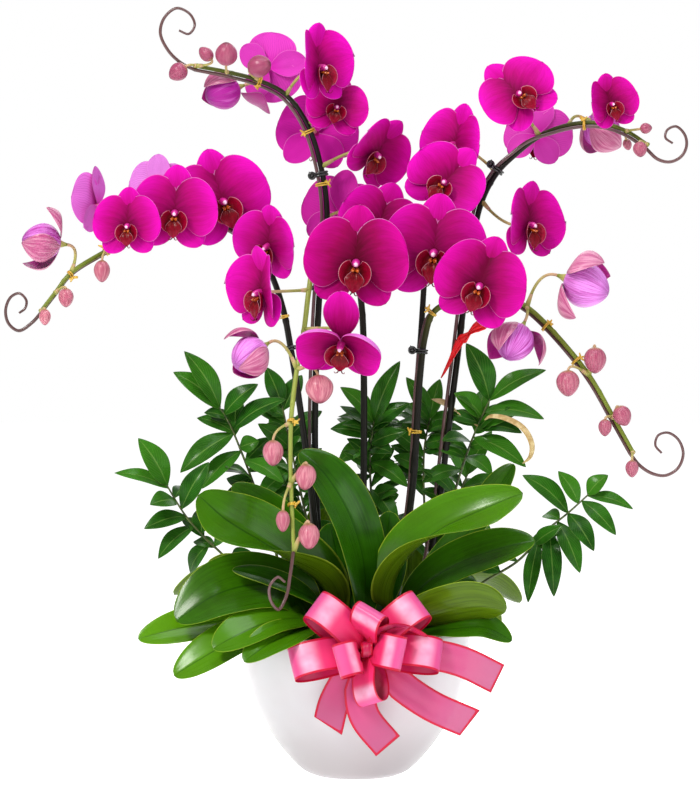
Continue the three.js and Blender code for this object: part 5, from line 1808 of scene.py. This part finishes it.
SPRAYS = {
    "far_left": Spray(
        ((-66, 88, 4), (-96, 180, -2), (-134, 219, -14), (-157, 241, -18), (-173, 261, -22),
         (-190, 289, -26)),
        ((1, -218, 335, -34, 26), (0.97, -242, 300, -32, 17), (0.88, -206, 268, -48, 23),
         (0.82, -147, 311, -20, 22), (0.76, -212, 244, -40, 21), (0.66, -198, 214, -28, 21),
         (0.58, -154, 266, -4, 20), (0.5, -166, 200, -2, 21), (0.9, -170, 286, 8, 15)),
        4, (0.35, 0.6),
    ),
    "left": Spray(
        ((-56, 88, 22), (-80, 220, 26), (-100, 282, 24), (-115, 322, 22), (-127, 350, 20),
         (-137, 366, 18)),
        ((1, -172, 422, 10, 25), (0.98, -183, 401, 6, 25), (0.9, -98, 389, 14, 22),
         (0.86, -152, 360, 8, 15), (0.74, -70, 374, 4, 24), (0.72, -176, 300, 2, 25),
         (0.6, -154, 284, 6, 22), (0.7, -118, 380, 44, 19), (0.55, -72, 290, 2, 20),
         (0.46, -134, 252, 20, 20)),
        12, (0.3, 0.85),
    ),
    "centre_left": Spray(
        ((-14, 88, 34), (-44, 230, 40), (-64, 320, 44), (-74, 368, 46)),
        ((1, -90, 406, 44, 21), (0.96, -54, 398, 58, 20), (0.86, -104, 370, 60, 21),
         (0.76, -34, 362, 52, 21), (0.66, -96, 322, 72, 21), (0.58, -26, 318, 60, 21),
         (0.5, -92, 278, 68, 21), (0.44, -12, 276, 62, 20)),
        22, (0.3, 0.95),
    ),
    "centre": Spray(
        ((18, 88, 36), (17, 240, 36), (14, 320, 36), (18, 352, 34)),
        ((1, 44, 412, 26, 22), (0.98, -16, 386, 24, 23), (0.9, 54, 370, 20, 22), (0.83, -26, 344, 24, 21),
         (0.76, -18, 310, 18, 20), (0.7, 36, 320, 10, 21), (0.62, 52, 286, 18, 21),
         (0.56, -20, 274, 24, 20), (0.5, 42, 246, 6, 20), (0.42, -8, 232, 10, 19), (0.8, 24, 348, 76, 20),
         (0.6, 8, 300, 78, 20)),
        30, (0.3, 0.97),
    ),
    "centre_right": Spray(
        ((72, 88, 20), (71, 200, 36), (68, 320, 54), (74, 356, 58)),
        ((1, 50, 396, 54, 19), (0.98, 84, 394, 62, 19), (0.88, 104, 358, 64, 21), (0.78, 38, 346, 66, 21),
         (0.68, 98, 314, 72, 21), (0.58, 34, 300, 70, 21), (0.5, 98, 264, 72, 21),
         (0.44, 42, 258, 66, 20)),
        26, (0.3, 0.97),
    ),
    "right": Spray(
        ((84, 88, 30), (88, 220, 30), (100, 285, 26), (114, 328, 22), (124, 352, 18), (134, 374, 14)),
        ((1, 110, 430, 8, 29), (0.98, 190, 403, 6, 22), (0.88, 188, 354, 2, 25), (0.84, 98, 380, 4, 24),
         (0.74, 166, 340, 0, 22), (0.66, 170, 306, -4, 24), (0.62, 86, 332, -4, 21),
         (0.54, 136, 298, 0, 21), (0.7, 130, 386, 46, 20), (0.48, 66, 290, 6, 20)),
        14, (0.3, 0.85),
    ),
    "far_right": Spray(
        ((70, 88, 6), (110, 176, 0), (163, 213, -12), (191, 243, -18), (212, 260, -22), (233, 279, -28)),
        ((1, 252, 298, -30, 20), (0.98, 277, 264, -36, 16), (0.93, 260, 238, -44, 19),
         (0.9, 202, 302, -26, 19), (0.8, 166, 298, -22, 25), (0.8, 238, 222, -44, 21),
         (0.7, 224, 200, -40, 21), (0.62, 198, 176, -36, 20), (0.54, 172, 170, -30, 17),
         (0.72, 188, 258, 4, 17)),
        4, (0.3, 0.5),
    ),
    "rear_left": Spray(
        ((-8, 88, 74), (-34, 200, 104), (-58, 276, 118), (-70, 316, 122)),
        ((1, -86, 360, 118, 21), (0.96, -44, 352, 132, 21), (0.86, -106, 316, 130, 21),
         (0.78, -26, 300, 138, 21), (0.68, -100, 260, 140, 21), (0.58, -88, 226, 98, 20),
         (0.48, -76, 206, 134, 20)),
        14, (0.3, 0.95),
    ),
    "rear_right": Spray(
        ((22, 88, 76), (66, 196, 104), (96, 262, 114), (112, 300, 118)),
        ((1, 136, 342, 112, 21), (0.96, 90, 344, 128, 21), (0.86, 152, 290, 128, 21),
         (0.78, 66, 300, 134, 21), (0.68, 136, 240, 136, 21), (0.58, 58, 226, 152, 20),
         (0.48, 112, 192, 132, 20)),
        14, (0.3, 0.95),
    ),
}


@dataclass
class Sprays(SubAssembly):
    """Leafy filler stems, and the dry leaves caught between them."""

    stem_radius: float = 1.6
    taper: float = 0.45
    thickness: float = 0.9
    highest: float = 0.985
    least: float = 0.1
    arch: float = 0.12
    fold: float = 0.2
    peak: float = 0.46
    end_curve: float = 0.8
    groove: float = 0.45
    wave: float = 0.4
    facing: tuple = (0, -0.75, 0.66)
    strap_half: float = 3.3
    strap_facing: tuple = (0.25, -0.9, 0.35)
    strap: tuple = (
        (128, 353, 12), (136, 357, 0), (152, 354, -8), (168, 344, -14), (176, 328, -16), (174, 316, -14),
        (166, 309, -10),
    )
    dry_leaflet: tuple = ((101, 361, 24), (75, 374, 26))
    dry_leaflet_width: float = 8.0
    dry_stalk: tuple = ((122, 347, 18), (112, 352, 20))
    small_reach: tuple = ((20, 38), (-24, 24), (2, 30))
    small_width: tuple[float, float] = (14, 20)

    def leaflet(self, root: Array, tip: Array, width: float, twist: float = 0.0) -> Surface:
        """A pointed leaflet that arches over to its tip.

        Args:
            root: Where it leaves the stem.
            tip: Its point.
            width: Its width.
            twist: How far it is rolled about its length, in radians.

        Returns:
            Its surface.
        """
        line = tip - root
        length = float(np.linalg.norm(line))
        along = line / length
        across = unit(np.cross(along, np.array(self.facing)))
        upper = np.cross(across, along)
        cosine, sine = math.cos(twist), math.sin(twist)
        across, upper = across * cosine + upper * sine, upper * cosine - across * sine

        def at(s: Array, w: Array) -> Array:
            """Points of the surface."""
            share = width_share(s, self.peak, self.end_curve, self.end_curve)
            share = np.where(s < self.peak, np.maximum(self.least, share), share)
            half = width / 2 * share
            rise = self.arch * length * np.sin(np.pi * s) + self.fold * half * w * w
            rise = rise - self.groove * np.exp(-((w * 8) ** 2)) * share
            rise = rise + self.wave * np.sin(9 * s + 2 * w) * np.abs(w) ** 3
            return shifted(root, (along, length * s), (across, half * w), (upper, rise))

        return at

    def dry_leaves(self) -> None:
        """Adds the curled strap of dry leaf and the dry leaflet that show between the stems."""
        strap = place(self.strap)

        def curl(s: Array, w: Array) -> Array:
            """Points of the curled strap."""
            heading = heading_at(strap, s)
            across = unit(np.cross(heading, unit(np.array(self.strap_facing))))
            half = self.strap_half * width_share(s, 0.5, 0.5, 0.7)
            return shifted(curve_at(strap, s), (across, half * w))

        shape = Shape()
        shape.blade(curl, 30, 7, 0.6)
        root, tip = place(self.dry_leaflet)
        shape.blade(self.leaflet(root, tip, self.dry_leaflet_width), 14, 7, 0.6)
        shape.tube(bow_of(*place(self.dry_stalk), root, 9), 0.7, 8)
        self.show(shape, "dry_leaves", Slot.FILLER, ("straw",))

    def build(self) -> None:
        """Builds each stem with its leaflets in place of its solid."""
        for number, (key, spray) in enumerate(SPRAYS.items()):
            drift = np.random.default_rng(70 + number)
            points = place(spray.stem)
            shares = even(60)
            shape = Shape()
            twig = self.stem_radius * (1 - self.taper * shares)
            shape.tube(curve_at(points, shares), twig, 10, finish=1)
            for on, *tip, width in spray.leaflets:
                root = curve_at(points, np.array([min(on, self.highest)]))[0]
                surface = self.leaflet(root, place(tip), width, drift.uniform(-0.15, 0.15))
                shape.blade(surface, 20, 11, self.thickness, tone=(drift.uniform(0.0, 0.75), 0))
            for count in range(spray.many):
                root = curve_at(points, np.array([drift.uniform(*spray.stretch)]))[0]
                reach = np.array([drift.uniform(*span) for span in self.small_reach])
                reach[0] *= (-1) ** count
                width = drift.uniform(*self.small_width)
                surface = self.leaflet(root, root + reach, width, drift.uniform(-0.5, 0.5))
                shape.blade(surface, 16, 9, self.thickness, tone=(drift.uniform(0.0, 0.5), 0))
            self.show(shape, f"filler_{key}_leaves", Slot.FILLER, ("leaflet", "twig"), f"filler_{key}")
        self.dry_leaves()


# Bowl and potting mix


@dataclass
class Bowl(SubAssembly):
    """The glazed bowl and the bark mix that fills it."""

    height: float = 143.0
    wall: float = 5.0
    sides: int = 144
    mix_top: float = 131.0
    mix_mound: float = 7.0
    chips: int = 420
    tufts: int = 60
    litter_reach: float = 101.0
    mix_radius: float = 106.0
    lip_middle: float = 110.5
    lip_radii: tuple[float, float] = (2.5, 2.0)
    foot: tuple = ((0, 1.2), (30, 1.2), (34, 0.2), (38, 0))
    outside: tuple = (
        (42, 0), (53, 5), (72, 24), (87, 45), (100, 68.5), (109, 97), (113, 124), (113, 141.5),
    )

    def lathe(self, profile: Array, name: str, finish: str, slot: Slot, node: str) -> None:
        """Turns a closed profile round the upright axis in place of a solid.

        Args:
            profile: Radius and height, from the axis and back to it.
            name: The piece's name.
            finish: Its finish.
            slot: The record's slot.
            node: The solid it replaces.
        """
        turn = 2 * np.pi * np.arange(self.sides) / self.sides
        radius, height = profile[:, 0, None], profile[:, 1, None]
        corners = np.stack([radius * np.cos(turn), radius * np.sin(turn), height + 0 * turn], axis=-1)
        shape = Shape()
        where = corners.reshape(-1, 3)[:, [2, 0, 1]] * [1 / self.height, 0, 0]
        faces = quads(len(profile), self.sides, around=True)
        shape.add(corners.reshape(-1, 3), faces, where, np.zeros(where.shape), 0)
        if node == "potting_mix":
            self.litter(shape)
        self.show(shape, name, slot, (finish,), node)

    def litter(self, shape: Shape) -> None:
        """Adds bark chips and moss tufts over the mound.

        Args:
            shape: The mix's shape.
        """
        drift = np.random.default_rng(7)
        for number in range(self.chips + self.tufts):
            moss = number >= self.chips
            radius = self.litter_reach * math.sqrt(drift.uniform(0, 1))
            angle = drift.uniform(0, 2 * math.pi)
            top = self.mix_top + self.mix_mound * (1 - (radius / self.mix_radius) ** 2)
            centre = np.array([radius * math.cos(angle), radius * math.sin(angle), top])
            way = unit(np.array([drift.normal(), drift.normal(), drift.normal() * 0.25]))
            length = drift.uniform(3, 5) if moss else drift.uniform(7, 15)
            girth = drift.uniform(2.5, 4.5) if moss else drift.uniform(1.6, 3.4)
            line = centre + way * np.linspace(-length / 2, length / 2, 4)[:, None]
            bumps = 1 + drift.uniform(-0.3, 0.3, 7)
            tone = (float(moss), drift.uniform(0, 1))
            shape.tube(line, girth * np.array([0.75, 1, 0.95, 0.6]), 7, tone=tone, ribs=bumps)

    def build(self) -> None:
        """Builds the bowl and the mix."""
        outline = np.array(self.outside, float)
        outer = curve_at(outline, even(64))
        run = unit(np.gradient(outer, axis=0))
        inner = outer + np.stack([-run[:, 1], run[:, 0]], axis=-1) * self.wall
        inner = inner[(inner[:, 1] > self.wall + 2) & (inner[:, 1] < self.height - 2)]
        turn = np.linspace(0, np.pi, 9)
        across, up = self.lip_radii
        top = self.height - up + up * np.sin(turn)
        lip = np.stack([self.lip_middle + across * np.cos(turn), top], axis=-1)
        floor = [[inner[0, 0] - 6, self.wall + 2], [0, self.wall + 2]]
        keep = outer[outer[:, 1] < self.height - 2.5]
        profile = np.vstack([self.foot, keep, lip, inner[::-1], floor])
        self.lathe(profile, "pot_glazed", "glaze", Slot.GLAZE, "pot")
        bed = inner[inner[:, 1] < self.mix_top] - np.array([CLEARANCE, 0])
        rim = bed[-1, 0]
        over = np.linspace(rim, 0, 14)
        mound = np.stack([over, self.mix_top + self.mix_mound * (1 - (over / rim) ** 2)], axis=-1)
        base = [[0, self.wall + 2 + CLEARANCE], [bed[0, 0] - 6, self.wall + 2 + CLEARANCE]]
        self.lathe(np.vstack([base, bed, mound]), "potting_mix_bark", "bark", Slot.MIX, "potting_mix")


# Bow and tag


@dataclass(frozen=True)
class Loop:
    """One loop: which way it points, how far forward, its roll, length, opening, and where its root is."""

    turn: float
    forward: float
    roll: float
    length: float
    open: float
    root: tuple[float, float] = (0.0, 0.0)


@dataclass(frozen=True)
class Tail:
    """One tail: drawn points of its middle line, and how far its cut end is slanted."""

    points: tuple
    slant: float


@dataclass
class Bow(SubAssembly):
    """The ribbon bow: loops, tails, the neck behind the knot, its band and a strap, each a sheet."""

    knot: Point = (11, 124, -134)
    knot_radius: float = 7.5
    thickness: float = 0.5
    loop_root: float = 3.0
    loop_width: float = 33.0
    tail_width: float = 30.0
    wall_radius: float = 113.0
    gather_radius: float = 6.2
    arch: tuple = (
        (13, 130, -138), (22, 141, -146), (36, 147, -149), (50, 146, -148), (62, 141, -145),
        (71, 136, -140),
    )
    loops: tuple[Loop, ...] = (
        Loop(-50, 0.1, -24, 67, 12), Loop(8, 0.7, 34, 40, 9, (-1, 7)), Loop(50, 0.1, 24, 68, 12),
        Loop(-101, 0.15, -24, 74, 12), Loop(95, 0.15, 26, 71, 11), Loop(-86, 1.9, -22, 40, 10, (-6, -9)),
        Loop(96, 1.2, 8, 46, 9, (3, 2)), Loop(174, 0.3, -48, 50, 9, (0, -3)),
    )
    tails: tuple[Tail, ...] = (
        Tail(((10, 123, -124), (-8, 96, -120), (-22, 70, -118), (-28, 47, -118)), 0.34),
        Tail(((11, 123, -124), (4, 88, -124), (8, 58, -124), (32, 27, -122)), -0.05),
        Tail(((12, 123, -124), (40, 92, -124), (74, 68, -126), (114, 50, -128)), 0.25),
        Tail(((12, 124, -124), (60, 121, -122), (104, 112, -122), (142, 94, -118)), 0.0),
    )

    def cloth(self, surface: Surface, rows: int, name: str, finish: str, held: str) -> None:
        """Makes a sheet of ribbon and measures its flat width.

        Args:
            surface: Its middle surface.
            rows: Corners along it.
            name: The piece's name.
            finish: Its finish.
            held: How it is held; not used.
        """
        shape = Shape()
        shape.blade(surface, rows, 15, self.thickness)
        s, w = np.meshgrid(even(200), np.linspace(-1, 1, 3), indexing="ij")
        spread = surface(s, w)
        wide = float(np.linalg.norm(spread[:, 2] - spread[:, 0], axis=-1).max())
        piece = self.show(shape, name, Slot.RIBBON, (finish,), "ribbon_bow")

    def loop_surface(self, spec: Loop) -> Surface:
        """The middle surface of a loop, from the knot, round and back to it.

        Args:
            spec: The loop.

        Returns:
            The surface.
        """
        turn, roll = math.radians(spec.turn), math.radians(spec.roll)
        out = unit(np.array([math.sin(turn), -spec.forward, math.cos(turn)]))
        level = np.array([math.cos(turn), 0.0, -math.sin(turn)])
        raised = np.cross(level, out)
        across = level * math.cos(roll) + raised * math.sin(roll)
        lift = raised * math.cos(roll) - level * math.sin(roll)
        centre = place((self.knot[0] + spec.root[0], self.knot[1] + spec.root[1], self.knot[2] + 6))

        def at(s: Array, w: Array) -> Array:
            """Points of the surface."""
            angle = 2 * np.pi * (0.02 + 0.96 * s)
            reach = (1 - np.cos(angle)) / 2
            swell = 1.3 * np.sin(angle) * np.sqrt(reach)
            half = self.loop_width / 2 * np.sin(np.pi / 2 * np.clip(0.2 + reach * 2.6, 0, 1))
            pleat = 1.5 * np.sin(np.pi * 3 * w) * np.clip(1 - reach * 1.8, 0, 1)
            stretch = self.loop_root + (spec.length - self.loop_root) * reach
            return shifted(centre, (out, stretch), (lift, spec.open * swell + pleat), (across, half * w))

        return at

    def tail_surface(self, spec: Tail, phase: float) -> Surface:
        """The middle surface of a tail, from the knot to its cut end.

        Args:
            spec: The tail.
            phase: Where its waves start.

        Returns:
            The surface.
        """
        points = place(spec.points)

        def at(s: Array, w: Array) -> Array:
            """Points of the surface."""
            s_cut = s + spec.slant * 0.25 * w * s**6
            heading = heading_at(points, s)
            across = unit(np.cross(heading, np.array([0.0, 1.0, 0.0])))
            through = np.cross(heading, across)
            half = self.tail_width / 2 * np.clip(0.2 + 2.1 * s, 0, 1)
            overrun = (s_cut - s) * 60
            wave = 1.3 * np.sin(6 * s + phase) * s + 0.8 * np.sin(np.pi * 2 * w) * (1 - s)
            return shifted(curve_at(points, s), (heading, overrun), (across, half * w), (through, wave))

        return at

    def band(self, s: Array, w: Array) -> Array:
        """The short band of ribbon that gathers the knot.

        Args:
            s: Shares of the way round the knot.
            w: Places across the band, from -1 to 1.

        Returns:
            Its points.
        """
        centre = place(self.knot)
        angle = 2 * np.pi * s * 0.97 + np.pi / 2
        radius = self.knot_radius * (1 - 0.1 * w * w) + 0.45 * np.sin(9 * w)
        across = 6.5 * w * (1 + 0.15 * np.cos(angle))
        up = radius * np.sin(angle) + across * 0.2
        return centre + np.stack([across, radius * np.cos(angle), up], axis=-1)

    def gather(self, s: Array, w: Array) -> Array:
        """The pleated neck of ribbon that runs from the bowl's wall to the knot.

        Args:
            s: Shares of the way round the neck.
            w: Places along it, -1 at the wall and 1 at the knot.

        Returns:
            Its points.
        """
        centre = place(self.knot)
        wall = -math.sqrt(self.wall_radius**2 - centre[0] ** 2) - CLEARANCE
        angle = 2 * np.pi * (0.01 + 0.98 * s) - np.pi / 2
        depth = 0.5 + 0.5 * w
        radius = self.gather_radius * (1 + 0.25 * (1 - depth) ** 2 + 0.09 * np.sin(14 * angle))
        return np.stack([
            centre[0] + radius * np.cos(angle), wall + (centre[1] - wall) * depth,
            centre[2] + radius * np.sin(angle),
        ], axis=-1)

    def strap(self, s: Array, w: Array) -> Array:
        """The thin strap that arches over the right-hand loop, seen nearly edge on.

        Args:
            s: Shares of its length.
            w: Places across it, from -1 to 1.

        Returns:
            Its points.
        """
        points = place(self.arch)
        heading = heading_at(points, s)
        across = unit(np.cross(heading, np.array([0.1, 0.45, 0.9])))
        half = 6.5 * np.sin(np.pi * (0.12 + 0.76 * s))
        return shifted(curve_at(points, s), (across, half * w))

    def build(self) -> None:
        """Builds the bow's sheets in place of its solid."""
        for number, spec in enumerate(self.tails):
            surface = self.tail_surface(spec, 1.7 * number)
            self.cloth(surface, 40, f"bow_tail_{number + 1}", "tail", "hung")
        for number, spec in enumerate(self.loops):
            self.cloth(self.loop_surface(spec), 64, f"bow_loop_{number + 1}", "loop", "gathered")
        self.cloth(self.gather, 90, "bow_neck", "loop", "gathered")
        self.cloth(self.band, 40, "bow_knot", "loop", "gathered")
        self.cloth(self.strap, 30, "bow_strap", "loop", "gathered")


@dataclass
class Tag(SubAssembly):
    """A short red ribbon tied round a stem, with one frayed tail."""

    thickness: float = 0.5
    head: tuple = ((100, 430, 14), (108, 435, 6), (117, 443, 4), (125, 448, 6), (133, 451, 10))
    tail: tuple = ((108, 437, 12), (102, 428, 6), (95, 414, 6), (89, 402, 8), (85, 395, 10))

    def strip(self, drawn: tuple, widths: Sequence[float], crumple: float) -> Surface:
        """A crumpled strip along drawn points.

        Args:
            drawn: Points of its middle line.
            widths: Its width at even steps.
            crumple: How deep its folds are.

        Returns:
            Its surface.
        """
        points = place(drawn)
        steps = even(len(widths))

        def at(s: Array, w: Array) -> Array:
            """Points of the surface."""
            heading = heading_at(points, s)
            across = unit(np.cross(heading, np.array([0.0, 1.0, 0.0])))
            through = np.cross(heading, across)
            half = np.interp(s, steps, widths) / 2
            fold = crumple * (np.sin(9 * w + 4 * s) + 0.6 * np.sin(11 * s + 3 * w))
            return shifted(curve_at(points, s), (across, half * w), (through, fold))

        return at

    def build(self) -> None:
        """Builds the tag's two sheets."""
        plan = (
            ("tag_head", self.head, (4, 11, 4, 10, 12, 6), 1.5),
            ("tag_tail", self.tail, (7, 8, 4.5, 3, 1.2), 0.8),
        )
        for name, drawn, widths, crumple in plan:
            shape = Shape()
            surface = self.strip(drawn, widths, crumple)
            shape.blade(surface, 34, 13, self.thickness)
            s, w = np.meshgrid(even(60), np.linspace(-1, 1, 21), indexing="ij")
            spread = surface(s, w)
            piece = self.show(shape, name, Slot.RIBBON, ("tag",))


# Studio


@dataclass
class Studio:
    """A pale floor, soft light and the camera."""

    floor_reach: float = 30.0
    backdrop_light: float = 1.0
    world_light: float = 0.34
    floor_glow: float = 0.78
    sensor: float = 36.0
    white: str = "ffffff"
    floor_light: str = "fafafa"
    floor_dark: str = "f4f4f4"
    aim: Point = (0.0, 0.0, 0.35)
    lamps: tuple = (
        ("key_light", (-1.2, -1.7, 1.9), 0.5, 37, "fffdf8"),
        ("top_light", (0.15, -0.55, 2.3), 1.2, 24, "f6f9ff"),
        ("fill_light", (1.9, -1.5, 0.9), 1.0, 7, "f8faff"),
        ("back_light", (0.4, 1.9, 1.7), 1.4, 12, "ffffff"),
    )

    def camera(self) -> None:
        """Sets the camera at the eye point; the photograph's height is one millimetre a pixel there."""
        data = bpy.data.cameras.new("camera")
        data.sensor_fit = "VERTICAL"
        data.sensor_height = self.sensor
        data.lens = self.sensor * EYE_AWAY / PHOTO_HEIGHT_PX
        data.clip_end = 100.0
        data.dof.use_dof = False
        camera = bpy.data.objects.new("camera", data)
        camera.location = (EYE_ACROSS * MM, -EYE_AWAY * MM, EYE_UP * MM)
        camera.rotation_euler = (math.pi / 2, 0, 0)
        bpy.context.collection.objects.link(camera)
        bpy.context.scene.camera = camera

    def lamp(self, name: str, at: Point, size: float, watts: float, hue: str) -> None:
        """Adds a soft square lamp that looks at the flowers.

        Args:
            name: Its name.
            at: Its place in metres.
            size: The length of its side in metres.
            watts: Its power.
            hue: The colour code of its light.
        """
        data = bpy.data.lights.new(name, "AREA")
        data.size, data.energy, data.color = size, watts, tint(hue)[:3]
        lamp = bpy.data.objects.new(name, data)
        lamp.location = at
        towards = np.array(self.aim) - np.array(at)
        yaw = math.atan2(towards[0], -towards[1])
        tilt = math.atan2(math.hypot(towards[0], towards[1]), -towards[2])
        lamp.rotation_euler = (tilt, 0, math.pi + yaw)
        bpy.context.collection.objects.link(lamp)

    def floor_finish(self) -> bpy.types.Material:
        """A matt white floor that glows a little, so that it stays pale."""
        paint = Paint("floor")
        colour = paint.mix(paint.noise(2.0), self.floor_light, self.floor_dark)
        glow = {"Emission_Color": self.white, "Emission_Strength": self.floor_glow}
        return paint.coat(colour, 0.9, None, 0.0, **glow)

    def surroundings(self) -> None:
        """Pale surroundings: white where they are seen, and dimmer as light on the flowers."""
        paint = Paint("surroundings", bpy.data.worlds)
        seen = paint.term("ShaderNodeLightPath", {}, {}, "Is Camera Ray")
        level = seen * (self.backdrop_light - self.world_light) + self.world_light
        backdrop = paint.term("ShaderNodeBackground", {}, {"Color": self.white, "Strength": level})
        paint.node("ShaderNodeOutputWorld", {}, {"Surface": backdrop})
        bpy.context.scene.world = paint.owner

    def build(self) -> None:
        """Builds the floor, the lamps, the pale surroundings and the camera."""
        self.camera()
        reach = self.floor_reach
        mesh = bpy.data.meshes.new("floor")
        corners = [(-reach, -reach, 0), (reach, -reach, 0), (reach, reach, 0), (-reach, reach, 0)]
        mesh.from_pydata(corners, [], [(0, 1, 2, 3)])
        floor = bpy.data.objects.new("floor", mesh)
        floor.data.materials.append(self.floor_finish())
        bpy.context.collection.objects.link(floor)
        for row in self.lamps:
            self.lamp(*row)
        self.surroundings()
        bpy.context.scene.view_settings.view_transform = "Standard"


def main() -> None:
    """Builds everything in order."""
    Studio().build()
    wardrobe = Wardrobe()
    for sub_assembly in (Bowl, Blooms, OpeningFlowers, Stems, Ties, Rosettes, Sprays, Bow, Tag):
        log.info("building %s", sub_assembly.__name__)
        sub_assembly(wardrobe).build()


if __name__ == "__main__":
    main()
